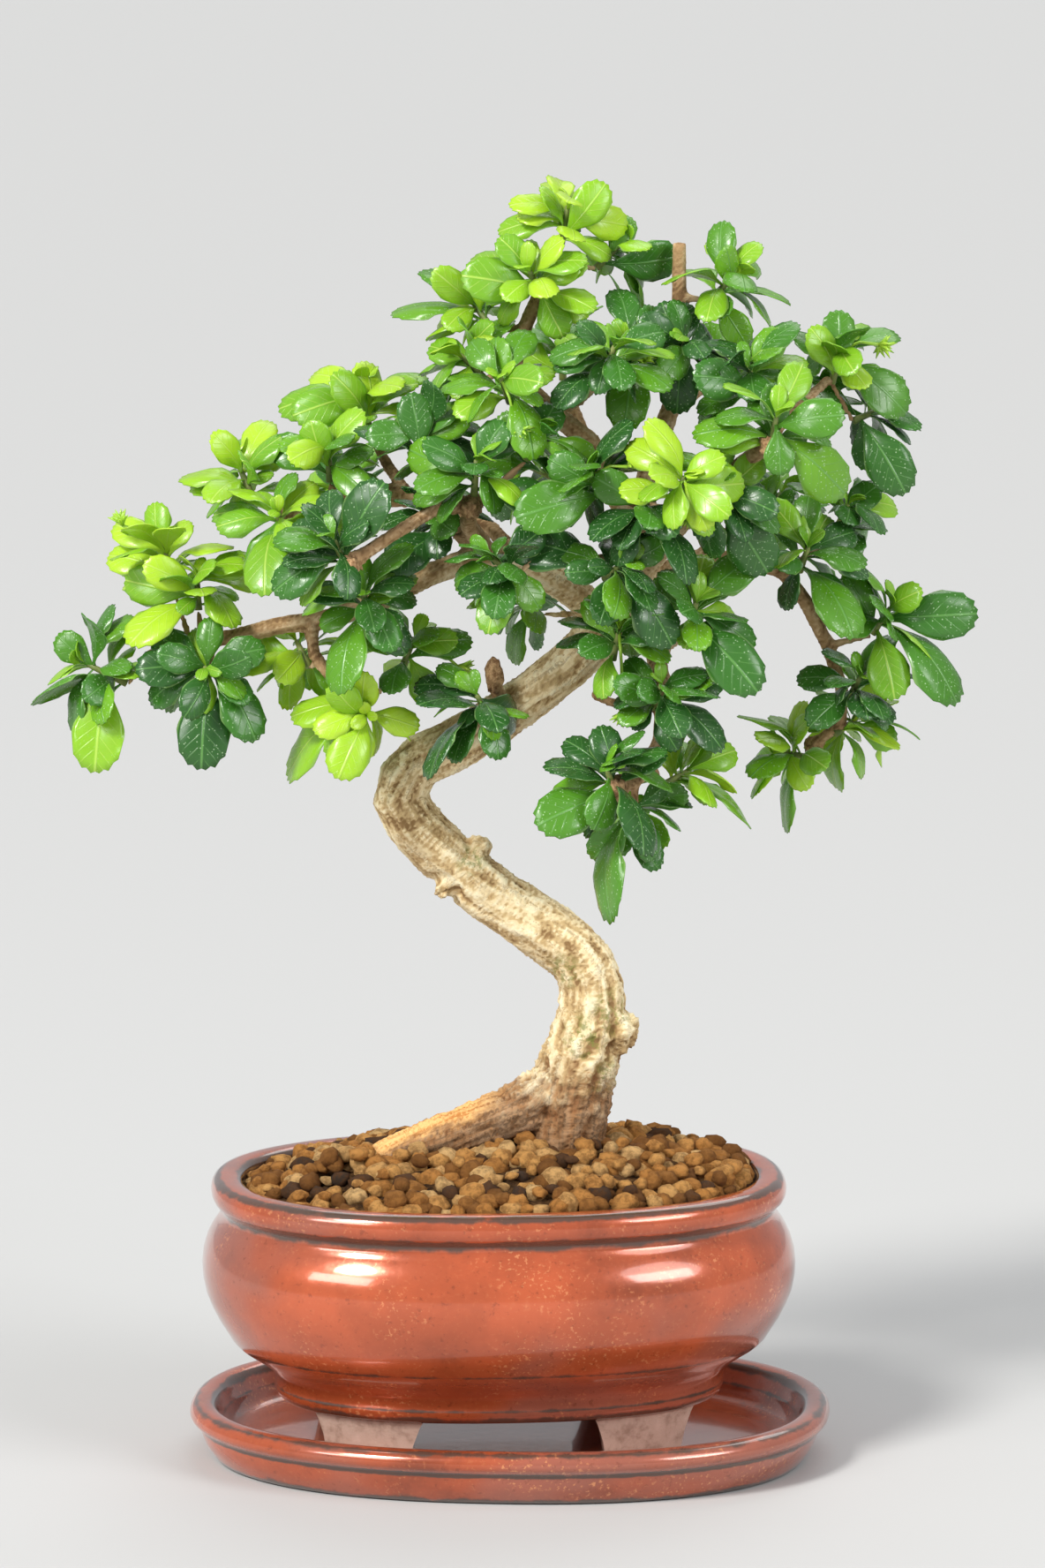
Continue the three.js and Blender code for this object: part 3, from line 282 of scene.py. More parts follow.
# Cut ends that no added leaf hides from the front: top of the second leader, low stub, and the knobs
BARE_ENDS = [
    (48, 0, 326), (48, 0, 334), (-1.5, -11, 212), (-1, -12, 217), (-40, -43, 248), (31, -39, 188),
    (71, -39, 279), (-7, -34, 262),
]
BARE_REACH = 5.5
LOOK_DOWN = 0.169  # rise per millimetre of depth for the camera that looks down at the tree

# Leaves, as in the part: outline, the turns, leans and scales it tries, and its sizes
LEAF_OUTLINE = ((0, 0), (0.6, 1), (0.92, 0.66), (1, 0))
LEAF_TRIES = [
    (0, 0, 1), (0, 16, 1), (0, -16, 1), (13, 0, 1), (-13, 0, 1), (0, 32, 1), (0, -32, 1), (13, 24, 0.95),
    (-13, 24, 0.95), (13, -24, 0.95), (-13, -24, 0.95), (24, 0, 0.88), (-24, 0, 0.88), (0, 50, 0.88),
    (0, -50, 0.88), (30, 35, 0.8), (-30, 35, 0.8), (30, -35, 0.8), (-30, -35, 0.8),
]
LEAF_THICKNESS = 0.6
LEAF_ARCH = 0.13  # rise of a leaf's middle, as a share of its length
LEAF_ROLL = 42
LEAF_NOD = 22
STEM_RADIUS = 1.1
FOOT_OUT = 0.3 * STEM_RADIUS  # how far a leaf starts from the stem's middle

# Added leaves: places on a leaf where clearances are measured, tries, sizes and clearances
LEAF_MARKS = (
    (0.2, 0), (0.35, 0), (0.45, -0.65), (0.45, 0.65), (0.6, 0), (0.65, -0.95), (0.65, 0.95), (0.82, -0.5),
    (0.82, 0.5), (0.98, 0),
)
GAP_TURNS = 36
LARGE_SIZES, SMALL_SIZES = (13, 19), (8, 12)
GAP_REACH = 8  # past the shoot's box
WOOD_CLEARANCE, LEAF_CLEARANCE, OWN_CLEARANCE = 1.3, 2.4, 2
GROWN_THICK, SMALL_THICK, YOUNG_THICK = 0.34, 0.3, 0.25
HIDING_LEAF = ("low_front", 60)  # shoot and angle of the leaf left out, since it would hide the low stub
MOST_LOST = 12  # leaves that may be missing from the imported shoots


def smoothstep(low, high, value):
    """0 at low, 1 at high, and an even curve between."""
    t = min(1.0, max(0.0, (value - low) / (high - low)))
    return t * t * (3 - 2 * t)


def linked(name, data):
    """A new object in the scene."""
    made = bpy.data.objects.new(name, data)
    bpy.context.scene.collection.objects.link(made)
    return made


def mesh_object(name, points, faces, material):
    """A smooth mesh object at the origin from points in millimetres."""
    mesh = bpy.data.meshes.new(name)
    mesh.from_pydata([tuple(c * MM for c in p) for p in points], [], faces)
    mesh.validate()
    mesh.update()
    mesh.polygons.foreach_set("use_smooth", [True] * len(mesh.polygons))
    mesh.materials.append(material)
    return linked(name, mesh)


def wood_surface():
    """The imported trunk, to measure distances from."""
    trunk = bmesh.new()
    trunk.from_mesh(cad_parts["trunk"].data)
    wood = BVHTree.FromBMesh(trunk)
    trunk.free()
    return wood


def ball(subdivisions):
    """The points of a round ball, as directions, and its faces."""
    made = bmesh.new()
    bmesh.ops.create_icosphere(made, subdivisions=subdivisions, radius=1)
    ways = [v.co.normalized() for v in made.verts]
    sides = [[v.index for v in f.verts] for f in made.faces]
    made.free()
    return ways, sides


def add_values(mesh, name, values):
    """Gives each point of a mesh a number that its material reads."""
    layer = mesh.attributes.new(name, "FLOAT", "POINT")
    layer.data.foreach_set("value", np.asarray(values, np.float32))


def place(made, node):
    """Lets a piece ride with the tree and stand for a node."""
    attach(made, "root")
    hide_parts(node)


class Nodes:
    """Shorthand for building a material."""

    def __init__(self, name):
        self.material = bpy.data.materials.new(name)
        self.material.use_nodes = True
        self.tree = self.material.node_tree
        self.shader = self.tree.nodes["Principled BSDF"]

    def add(self, kind, inputs=None, **settings):
        node = self.tree.nodes.new(kind)
        for key, value in settings.items():
            setattr(node, key, value)
        for key, value in (inputs or {}).items():
            self.feed(node.inputs[key], value)
        return node

    def feed(self, socket, value):
        if isinstance(value, bpy.types.NodeSocket):
            self.tree.links.new(value, socket)
        else:
            socket.default_value = value

    def set(self, **inputs):
        for key, value in inputs.items():
            self.feed(self.shader.inputs[key.replace("_", " ")], value)

    def value(self, name):
        return self.add("ShaderNodeAttribute", attribute_name=name).outputs["Fac"]

    def place(self):
        return self.add("ShaderNodeTexCoord").outputs["Object"]

    def noise(self, scale, detail=4, rough=0.55, stretch=None):
        inputs = {"Vector": self.place(), "Scale": scale, "Detail": detail, "Roughness": rough}
        if stretch:
            longer = self.add("ShaderNodeVectorMath", {0: inputs["Vector"], 1: stretch}, operation="MULTIPLY")
            inputs["Vector"] = longer.outputs[0]
        return self.add("ShaderNodeTexNoise", inputs).outputs["Fac"]

    def ramp(self, fac, *stops):
        node = self.add("ShaderNodeValToRGB", {"Fac": fac})
        node.color_ramp.interpolation = "EASE"
        elements = node.color_ramp.elements
        while len(elements) < len(stops):
            elements.new(0.5)
        for element, (at, colour) in zip(elements, stops):
            element.position = at
            element.color = (*colour, 1) if isinstance(colour, tuple) else (colour, colour, colour, 1)
        return node.outputs["Color"]

    def mix(self, fac, a, b):
        node = self.add("ShaderNodeMix", data_type="RGBA")
        for socket, value in ((node.inputs[0], fac), (node.inputs[6], a), (node.inputs[7], b)):
            self.feed(socket, (*value, 1) if isinstance(value, tuple) else value)
        return node.outputs[2]

    def tint(self, body, mask, strength, colour):
        """Lays a colour over another where a mask says, at a strength."""
        return self.mix(self.times(mask, strength), body, colour)

    def math(self, operation, a, b=0.0, clamp=False):
        return self.add("ShaderNodeMath", {0: a, 1: b}, operation=operation, use_clamp=clamp).outputs[0]

    def times(self, a, b):
        return self.math("MULTIPLY", a, b)

    def bump(self, height, distance, strength):
        inputs = {"Height": height, "Distance": distance, "Strength": strength}
        return self.add("ShaderNodeBump", inputs).outputs["Normal"]


def glaze_material(name, settings, speckle):
    """Glossy copper glaze with mauve clouds of painted sheen, dots and pits, which has run thin on the edges,
    and with painted shade below the lip.
    """
    n = Nodes(name)
    copper, thin = tuple(settings.copper), tuple(settings.thin_glaze_and_shade)
    dark, light, pitted = (tuple(c * share for c in copper) for share in (0.62, 1.25, 0.3))
    body = n.ramp(n.noise(28, 5, 0.6), (0.3, dark), (0.5, copper), (0.66, light), (0.8, speckle))
    # painted sheen: the mauve clouds stand in for the glaze's sheen, laid into its colour
    mauve = n.ramp(n.noise(14, 3, 0.5, stretch=(1, 1, 1.6)), (0.46, 0.0), (0.6, 1.0))
    body = n.tint(body, mauve, 0.6, (0.3, 0.12, 0.09))
    patches = n.ramp(n.noise(45, 4, 0.6), (0.45, 0.1), (0.62, 1.0))
    dots = n.times(n.ramp(n.noise(900, 3, 0.6), (0.56, 0.0), (0.68, 1.0)), patches)
    body = n.tint(body, dots, 0.65, speckle)
    pits = n.ramp(n.noise(520, 4, 0.7), (0.32, 1.0), (0.42, 0.0))
    body = n.tint(body, pits, 0.4, pitted)
    uneven = n.times(n.math("SUBTRACT", n.noise(140, 4, 0.6), 0.5), 1.1)
    # painted shade: this mask darkens edges where the glaze ran thin, and also paints shade below the lip
    edge = n.ramp(n.math("ADD", n.value("thin"), uneven, clamp=True), (0.45, 0.0), (0.8, 1.0))
    n.set(Base_Color=n.tint(body, edge, 0.85, thin), Roughness=0.19, Metallic=0.25, Coat_Weight=0.8,
          Coat_Roughness=0.06, Normal=n.bump(n.noise(220, 3, 0.5), 0.0002, 0.35))
    return n.material


def clay_material():
    """The pale clay of the feet."""
    n = Nodes("unglazed_clay")
    colour = n.ramp(n.noise(180, 5, 0.65), (0.3, (0.36, 0.24, 0.18)), (0.55, (0.55, 0.4, 0.32)),
                    (0.8, (0.66, 0.5, 0.42)))
    n.set(Base_Color=colour, Roughness=0.82, Normal=n.bump(n.noise(1400, 3), 0.0002, 0.5))
    return n.material


def grain_material():
    """Baked clay, from a few dark lumps to tan ones."""
    n = Nodes("akadama")
    body = n.ramp(n.value("tint"), (0.0, (0.05, 0.035, 0.025)), (0.06, (0.1, 0.05, 0.025)),
                  (0.12, (0.24, 0.1, 0.025)), (0.5, (0.6, 0.265, 0.065)), (0.8, (0.74, 0.38, 0.115)),
                  (1.0, (0.82, 0.52, 0.22)))
    mottle = n.ramp(n.noise(420, 4, 0.7), (0.35, 1.0), (0.6, 0.0))
    n.set(Base_Color=n.tint(body, mottle, 0.6, (0.15, 0.055, 0.012)), Roughness=0.93, Specular_IOR_Level=0.2,
          Normal=n.bump(n.noise(600, 6, 0.8), 0.002, 1.0))
    return n.material


def dirt_material():
    """The dark soil between the granules."""
    n = Nodes("potting_soil")
    colour = n.ramp(n.noise(500, 5, 0.7), (0.35, (0.03, 0.016, 0.008)), (0.7, (0.13, 0.065, 0.025)))
    n.set(Base_Color=colour, Roughness=1.0, Specular_IOR_Level=0.1,
          Normal=n.bump(n.noise(900, 4, 0.7), 0.001, 0.8))
    return n.material


def bark_material():
    """Pale streaked bark, brown on twigs, with moss, a dark foot, a peeled root and crusted cuts."""
    n = Nodes("bark")
    fibre = n.value("fibre")
    pale = n.ramp(fibre, (0.15, (0.26, 0.15, 0.06)), (0.38, (0.58, 0.41, 0.2)), (0.55, (0.83, 0.67, 0.4)),
                  (0.8, (0.93, 0.82, 0.56)))
    dark = n.ramp(fibre, (0.25, (0.2, 0.11, 0.05)), (0.5, (0.42, 0.26, 0.13)), (0.8, (0.62, 0.44, 0.26)))
    wood = n.mix(n.value("twig"), pale, dark)
    turning = n.add("ShaderNodeAttribute", attribute_name="round").outputs["Vector"]
    along = n.times(n.value("run"), 0.11)
    inputs = {"Vector": turning, "W": along, "Scale": 0.85, "Detail": 5.0, "Roughness": 0.6}
    streak = n.add("ShaderNodeTexNoise", inputs, noise_dimensions="4D").outputs["Fac"]
    wood = n.tint(wood, n.ramp(streak, (0.36, 1.0), (0.5, 0.0)), 0.55, (0.3, 0.18, 0.075))
    mottle = n.ramp(n.noise(90, 5, 0.65), (0.48, 0.0), (0.64, 1.0))
    wood = n.tint(wood, mottle, 0.32, (0.36, 0.22, 0.09))
    specks = n.ramp(n.noise(420, 5, 0.7), (0.45, 0.0), (0.6, 1.0))
    wood = n.tint(wood, n.times(n.value("moss"), specks), 0.75, (0.2, 0.22, 0.05))
    foot = n.ramp(streak, (0.35, (0.09, 0.035, 0.015)), (0.65, (0.32, 0.14, 0.055)))
    wood = n.tint(wood, n.value("base"), 0.85, foot)
    peeled = n.ramp(streak, (0.35, (0.5, 0.2, 0.05)), (0.62, (0.88, 0.52, 0.2)))
    wood = n.mix(n.value("root"), wood, peeled)
    crust = n.ramp(n.noise(900, 4, 0.7), (0.35, (0.22, 0.11, 0.05)), (0.65, (0.6, 0.38, 0.2)))
    wood = n.tint(wood, n.value("cut"), 0.85, crust)
    height = n.math("ADD", n.times(n.noise(700, 5, 0.7), 0.5), streak)
    n.set(Base_Color=wood, Roughness=0.85, Specular_IOR_Level=0.25, Normal=n.bump(height, 0.0007, 0.75))
    return n.material


def leaf_material(name, young):
    """A glossy leaf with a pale midrib, side veins, rim and white dots."""
    n = Nodes(name)
    split = n.add("ShaderNodeSeparateXYZ", {0: n.add("ShaderNodeUVMap", uv_map="leaf").outputs[0]})
    along, across = split.outputs[0], n.math("ABSOLUTE", n.math("SUBTRACT", split.outputs[1], 0.5))
    ribs = n.math("SINE", n.times(n.math("SUBTRACT", along, n.times(across, 0.55)), 52.0))
    fading = n.ramp(across, (0.03, 0.0), (0.1, 1.0), (0.5, 0.0))
    side_vein = n.times(n.ramp(ribs, (0.86, 0.0), (1.0, 1.0)), fading)
    midrib = n.ramp(across, (0.008, 1.0), (0.035, 0.0))
    vein = n.math("MAXIMUM", n.times(side_vein, 0.5), midrib, clamp=True)
    if young:
        stops = (0.0, (0.13, 0.365, 0.007)), (0.5, (0.235, 0.5, 0.007)), (1.0, (0.41, 0.66, 0.018))
        rib_colour, dotted = (0.5, 0.7, 0.12), 0.12
    else:
        stops = ((0.0, (0.012, 0.076, 0.01)), (0.3, (0.03, 0.148, 0.009)), (0.6, (0.07, 0.235, 0.008)),
                 (1.0, (0.155, 0.39, 0.007)))
        rib_colour, dotted = (0.14, 0.34, 0.08), 0.5
    face = n.tint(n.ramp(n.value("hue"), *stops), n.noise(90, 3), 0.35, tuple(c * 0.6 for c in rib_colour))
    cells = n.add("ShaderNodeTexVoronoi", {"Vector": n.place(), "Scale": 950.0, "Randomness": 1.0})
    dots = n.ramp(cells.outputs["Distance"], (0.1, 1.0), (0.24, 0.0))
    face = n.tint(face, dots, dotted, (0.55, 0.74, 0.45))
    face = n.tint(face, n.ramp(across, (0.465, 0.0), (0.5, 1.0)), 0.5, (0.3, 0.5, 0.16))
    n.set(Base_Color=n.tint(face, vein, 0.6, rib_colour), Roughness=0.27, Specular_IOR_Level=0.5,
          Normal=n.bump(vein, 0.0003, 0.5), Subsurface_Weight=0.12, Subsurface_Scale=0.001,
          Subsurface_Radius=(0.5, 1.0, 0.2))
    return n.material


def stem_material():
    """The green stem of a shoot."""
    n = Nodes("green_stem")
    colour = n.ramp(n.noise(300, 3), (0.3, (0.1, 0.15, 0.03)), (0.7, (0.24, 0.28, 0.07)))
    n.set(Base_Color=colour, Roughness=0.6)
    return n.material


def oval_points(half_length, height, sides):
    """Points of the part's oval at one height, in the oval's own frame."""
    deep = half_length - OVAL_NARROWING if half_length > 2 * OVAL_NARROWING else half_length / 2
    power = 2 / OVAL_POWER
    points = []
    for k in range(sides):
        angle = 2 * math.pi * k / sides
        c, s = math.cos(angle), math.sin(angle)
        x, y = half_length * math.copysign(abs(c) ** power, c), deep * math.copysign(abs(s) ** power, s)
        points.append((x, y, height))
    return points


def ring_faces(rings, sides, start=0):
    """Faces that join rings of points one after the other and close both ends."""
    faces = []
    for i in range(rings - 1):
        for k in range(sides):
            a, b = start + i * sides + k, start + i * sides + (k + 1) % sides
            faces.append((a, b, b + sides, a + sides))
    last = start + (rings - 1) * sides
    return faces + [tuple(reversed(range(start, start + sides))), tuple(range(last, last + sides))]


def turned_oval(name, profile, turn, shift, material):
    """An oval turned from a profile of half length, height and glaze thinness, which also holds painted shade
    below the lip.
    """
    spin = Matrix.Rotation(math.radians(turn), 3, "Z")
    points, thin = [], []
    for half_length, height, thin_glaze_and_shade in profile[1:-1]:
        for p in oval_points(half_length, height, OVAL_SIDES):
            points.append(spin @ Vector(p) + Vector((shift, 0, 0)))
            thin.append(thin_glaze_and_shade)
    made = mesh_object(name, points, ring_faces(len(profile) - 2, OVAL_SIDES), material)
    # the thin values also paint shade below the lip
    add_values(made.data, "thin", thin)
    return made


def lines_samples():
    """Every centre line as rows of x, y, z, radius, distance along it and kind: 0 trunk, 1 limb, 2 root."""
    rows = []
    for kind, line in [(0, TRUNK)] + [(1, limb) for limb in LIMBS] + [(2, SURFACE_ROOT)]:
        run = 0.0
        for a, b in zip(line, line[1:]):
            length = math.dist(a[:3], b[:3])
            steps = max(2, int(length / 1.5))
            for k in range(steps):
                t = k / steps
                rows.append([*(a[i] + (b[i] - a[i]) * t for i in range(4)), run + length * t, kind])
            run += length
    return np.array(rows)


def nearest_on(lines, points, batch=4000):
    """For each point, the index of the centre-line sample whose surface is nearest."""
    found = np.zeros(len(points), int)
    for start in range(0, len(points), batch):
        part = points[start:start + batch]
        far = np.linalg.norm(part[:, None, :] - lines[None, :, :3], axis=2) - lines[None, :, 3]
        found[start:start + batch] = far.argmin(1)
    return found


def limb_spot(target):
    """Where a shoot's twig leaves the nearest limb, as in the part."""
    best = None
    for line in LIMBS:
        for a, b in zip(line, line[1:]):
            for k in range(5):
                spot = Vector([a[i] + (b[i] - a[i]) * k / 4 for i in range(3)])
                far = (spot - target).length * (1.4 if spot.z > target.z else 1)
                if best is None or far < best[0]:
                    best = (far, spot)
    return best[1]


def shoot_aim(tip, spot):
    """The way a shoot points: out from its limb and up, as in the part."""
    out = tip - spot
    if out.length < 1:
        out = Vector((tip.x - 10, tip.y, 20))
    return (out.normalized() * 0.8 + Vector((0, 0, 0.7))).normalized()


def leaf_frame(angle, lean, roll):
    """A leaf's directions along, across and out of its face, as in the part."""
    a, b = math.radians(angle), math.radians(lean)
    along = Vector((math.cos(a) * math.cos(b), -math.sin(b), math.sin(a) * math.cos(b)))
    face = Vector((along.x * 0.3, -0.62, 0.78))
    face = Matrix.Rotation(math.radians(roll), 3, along) @ (face - along * face.dot(along)).normalized()
    return along, face.cross(along), face


def leaf_half(length):
    """Half the greatest width of a leaf, as in the part."""
    return min(0.36 * length, 1.5 + 0.26 * length)


def leaf_spot(foot, axes, length, half, share, side, lift=0.0):
    """A point of an arched leaf, at a share of its length and to one side of its middle."""
    along, across, face = axes
    rise = 4 * LEAF_ARCH * length * share * (1 - share) + lift
    return foot + along * (share * length) + face * rise + across * (side * half)


def placed_leaf(joint, angle, length, lean, roll, corners):
    """Which of the part's tries this leaf took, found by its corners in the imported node."""
    best = (0, None)
    nod = lean + LEAF_NOD * math.sin(5 * angle + 2 * length)
    for turn, tip, scale in LEAF_TRIES:
        axes = leaf_frame(angle + turn, nod + tip, roll)
        foot = joint + axes[0] * FOOT_OUT
        long = length * scale
        half = leaf_half(long)
        met = 0
        for share, side in LEAF_OUTLINE[1:]:
            for sign in (1, -1) if side else (1,):
                for lift in (0.5, -0.5):
                    spot = leaf_spot(foot, axes, long, half, share, side * sign, lift * LEAF_THICKNESS)
                    met += corners.find(spot)[2] < 0.05
        if met > best[0]:
            best = (met, (foot, axes, long, half))
    return best[1] if best[0] >= 3 else None


def leaf_marks(foot, axes, length, half):
    """Points spread over a leaf, by which others keep clear of it."""
    return [leaf_spot(foot, axes, length, half, share, side) for share, side in LEAF_MARKS]


def hides_cut(spot):
    """Whether a spot stands before a cut end that shows bare from the front."""
    for x, y, z in BARE_ENDS:
        rise = spot.z - z + LOOK_DOWN * (spot.y - y)
        if spot.y < y and abs(spot.x - x) < BARE_REACH and abs(rise) < BARE_REACH:
            return True
    return False


def gap_leaf(draw, shoot, marks, own, wood, box):
    """A small leaf on a shoot's stem where it is clear of every other leaf and of the wood, or None."""
    tip, aim, length = shoot
    low = [max(a / MM - GAP_REACH, b / MM) for a, b in zip(box[0], CAD_BOX[0])]
    high = [min(a / MM + GAP_REACH, b / MM) for a, b in zip(box[1], CAD_BOX[1])]
    side = aim.orthogonal().normalized()
    for turn in range(GAP_TURNS):
        out = Matrix.Rotation(draw.uniform(0, 6.283), 3, aim) @ side
        along = (aim * draw.uniform(-0.35, 0.9) + out).normalized()
        face = aim * 0.6 + Vector((draw.uniform(-0.9, 0.9), draw.uniform(-0.9, 0.1), draw.uniform(0, 0.9)))
        face = (face - along * face.dot(along)).normalized()
        size = draw.uniform(*(LARGE_SIZES if turn < GAP_TURNS / 2 else SMALL_SIZES))
        foot = tip + aim * draw.uniform(1.2, length - 0.8) + along * FOOT_OUT
        leaf = (foot, (along, face.cross(along), face), size, 0.9 * leaf_half(size))
        spots = leaf_marks(*leaf)
        if not all(low[i] < s[i] < high[i] for s in spots for i in range(3)):
            continue
        if any(wood.find_nearest(s * MM)[3] < WOOD_CLEARANCE * MM for s in spots[1:]):
            continue
        if any(hides_cut(s) for s in spots):
            continue
        far = np.linalg.norm(marks[None, :, :] - np.array(spots)[:, None, :], axis=2)
        if far[:, ~own].min() > LEAF_CLEARANCE and (not own.any() or far[2:, own].min() > OWN_CLEARANCE):
            return leaf
    return None


# A fine leaf's mesh: places across it, how far the tip reaches at each of them, and places along it
ACROSS = [-1, -0.84, -0.67, -0.5, -0.33, -0.16, 0, 0.16, 0.33, 0.5, 0.67, 0.84, 1]
REACH = [0.62, 0.84, 0.885, 0.955, 0.95, 0.995, 0.975, 0.99, 0.95, 0.96, 0.88, 0.845, 0.62]
STATIONS = [0, 0.06, 0.14, 0.26, 0.4, 0.54, 0.68, 0.8, 0.9, 1]
NARROWER = 0.86  # half width of a fine leaf, as a share of the part's
STALK, WEDGE = 0.1, 0.57  # shares of its length that are stalk and that widen
CREASE = 0.17  # depth of the groove along the midrib, by the half width
SEPAL_TURN = 1.2566  # a fifth of a turn
GROWN_SLOT, STEM_SLOT, YOUNG_SLOT = range(3)  # of a shoot's materials


def leaf_width(share):
    """Half width of a spoon-shaped leaf at a share of its length, as a share of its greatest."""
    if share < STALK:
        return 0.07 + 0.3 * share
    return 0.1 + 0.9 * math.sin(math.pi / 2 * min(1, (share - STALK) / WEDGE)) ** 1.4


class LeafBuilder:
    """Gathers fine leaves into one mesh."""

    def __init__(self, seed):
        self.points, self.faces, self.uvs, self.hues, self.slots = [], [], [], [], []
        self.random = random.Random(seed)

    def add(self, foot, axes, length, half, hue, slot, thick):
        """A leaf with its upper and lower face and its rim, folded along the midrib and drooping."""
        wave = self.random.uniform(0, 6.28)
        half *= NARROWER
        bend = self.random.uniform(-1.5, 0.3)
        fold = self.random.uniform(0.1, 0.34)
        start = len(self.points)
        columns = len(ACROSS)
        tilt = self.random.uniform(-0.06, 0.06)
        for lift in (0.5, -0.5):
            for s in STATIONS:
                for t, reach in zip(ACROSS, REACH):
                    share = s * (1 - (1 - reach) * smoothstep(0.2, 1, s))
                    width = leaf_width(share)
                    rim = smoothstep(0.75, 1, abs(t)) * smoothstep(0.1, 0.3, s)
                    rise = half * width * (-fold * t * t + tilt * t + CREASE * abs(t))
                    rise += 0.06 * half * math.sin(9 * s + wave) * t * s
                    rise += 0.1 * length * bend * smoothstep(0.3, 1.1, s) + lift * thick * (1 - 0.55 * rim)
                    self.points.append(leaf_spot(foot, axes, length, half, share, t * width, rise))
                    self.uvs.append((share, 0.5 + 0.5 * t))
                    self.hues.append(hue)
        rows = len(STATIONS)
        layer = rows * columns
        for i in range(rows - 1):
            for j in range(columns - 1):
                a = start + i * columns + j
                self.face((a, a + columns, a + columns + 1, a + 1), slot)
                b = a + layer
                self.face((b, b + 1, b + columns + 1, b + columns), slot)
        rim = [start + i * columns for i in range(rows)]
        rim += [start + (rows - 1) * columns + j for j in range(1, columns)]
        rim += [start + i * columns + columns - 1 for i in reversed(range(rows - 1))]
        rim += [start + j for j in reversed(range(1, columns - 1))]
        for a, b in zip(rim, rim[1:] + rim[:1]):
            self.face((a, a + layer, b + layer, b), slot)

    def face(self, corners, slot):
        """A face with one of the shoot's materials."""
        self.faces.append(corners)
        self.slots.append(slot)

    def tube(self, path, radii, hue, slot, sides=8):
        """A round stem through the points of a path."""
        start = len(self.points)
        side = None
        for i, (spot, radius) in enumerate(zip(path, radii)):
            ahead = (path[min(i + 1, len(path) - 1)] - path[max(i - 1, 0)]).normalized()
            side = side or ahead.orthogonal()
            side = (side - ahead * side.dot(ahead)).normalized()
            up = ahead.cross(side)
            for k in range(sides):
                angle = 2 * math.pi * k / sides
                self.points.append(spot + side * (math.cos(angle) * radius) + up * (math.sin(angle) * radius))
                self.uvs.append((0.5, 0.3))
                self.hues.append(hue)
        for corners in ring_faces(len(path), sides, start):
            self.face(corners, slot)

    def aged(self, leaf, age, thick):
        """A leaf coloured by its age, from 0 for a dark grown one to 1 for a yellow-green young one."""
        age = min(1, max(0, age))
        young = age >= 0.5
        slot = YOUNG_SLOT if young else GROWN_SLOT
        self.add(*leaf, 2 * age - young, slot, thick)

    def calyces(self, root, spot, draw):
        """A thin stalk with three open calyces of five narrow sepals."""
        way = spot - root
        bow = root + way * 0.5 + Vector((0, 0, 0.12 * way.length))
        self.tube([root, bow, spot], [0.5, 0.42, 0.5], 0.6, YOUNG_SLOT, 6)
        for _ in range(3):
            aim = (way.normalized() + Vector([draw.uniform(-0.9, 0.9) for _ in range(3)])).normalized()
            side = aim.orthogonal().normalized()
            size = draw.uniform(4, 5)
            for k in range(5):
                out = Matrix.Rotation(SEPAL_TURN * k, 3, aim) @ side
                bend, end = (aim * 0.5 + out * 0.18) * size, (aim * 0.85 + out * 0.5) * size
                hue = draw.uniform(0.5, 1)
                self.tube([spot, spot + bend, spot + end], [0.3, 0.55, 0.1], hue, YOUNG_SLOT, 5)

    def made(self, name, materials):
        """The finished mesh object, with its materials, hues and leaf coordinates."""
        leaf = mesh_object(name, self.points, self.faces, materials[0])
        for extra in materials[1:]:
            leaf.data.materials.append(extra)
        leaf.data.polygons.foreach_set("material_index", self.slots)
        add_values(leaf.data, "hue", self.hues)
        layer = leaf.data.uv_layers.new(name="leaf")
        loops = np.zeros(len(leaf.data.loops), int)
        leaf.data.loops.foreach_get("vertex_index", loops)
        layer.data.foreach_set("uv", np.array(self.uvs, np.float32)[loops].ravel())
        return leaf


class BonsaiPotSettings(bpy.types.PropertyGroup):
    copper: bpy.props.FloatVectorProperty(
        name="Glaze colour", description="Colour of the pot's glaze", subtype="COLOR",
        default=(0.44, 0.085, 0.028), min=0, max=1)
    # also the colour of the painted shade below the pot's lip
    thin_glaze_and_shade: bpy.props.FloatVectorProperty(
        name="Thin glaze and painted shade", description="Colour where the glaze has run thin on an edge, and of the painted shade below the lip", subtype="COLOR",
        default=(0.055, 0.05, 0.04), min=0, max=1)


class BonsaiTreeSettings(bpy.types.PropertyGroup):
    bark_relief: bpy.props.FloatProperty(
        name="Bark relief", description="Height of the bark's ridges", unit="LENGTH",
        default=0.0005, min=0, max=0.002)
    grain_size: bpy.props.FloatProperty(
        name="Grain size", description="Width of the soil granules", unit="LENGTH",
        default=0.006, min=0.003, max=0.01)
    tip_leaves: bpy.props.IntProperty(
        name="Young leaves", description="Small young leaves at the end of each shoot",
        default=3, min=0, max=6)
    small_leaves: bpy.props.IntProperty(
        name="Small leaves", description="Small leaves in the gaps of each shoot",
        default=11, min=0, max=12)


class BonsaiStageSettings(bpy.types.PropertyGroup):
    lens: bpy.props.FloatProperty(
        name="Lens", description="Focal length on a 36 mm high picture", default=206, min=20, max=400)
    distance: bpy.props.FloatProperty(
        name="Camera distance", description="From the tree's middle", unit="LENGTH",
        default=2.4, min=0.5, max=10)
    pitch: bpy.props.FloatProperty(
        name="Camera pitch", description="How far the camera looks down", unit="ROTATION",
        default=math.radians(9.6))


class BONSAI_OT_tray(bpy.types.Operator):
    """Builds the glazed drip tray"""
    bl_idname = "bonsai.tray"
    bl_label = "Drip Tray"

    def execute(self, context):
        material = glaze_material("tray_glaze", context.scene.bonsai_pot, (0.8, 0.33, 0.13))
        made = turned_oval("tray", TRAY_PROFILE, TRAY_TURN, TRAY_SHIFT, material)
        place(made, "drip_tray")
        return {"FINISHED"}


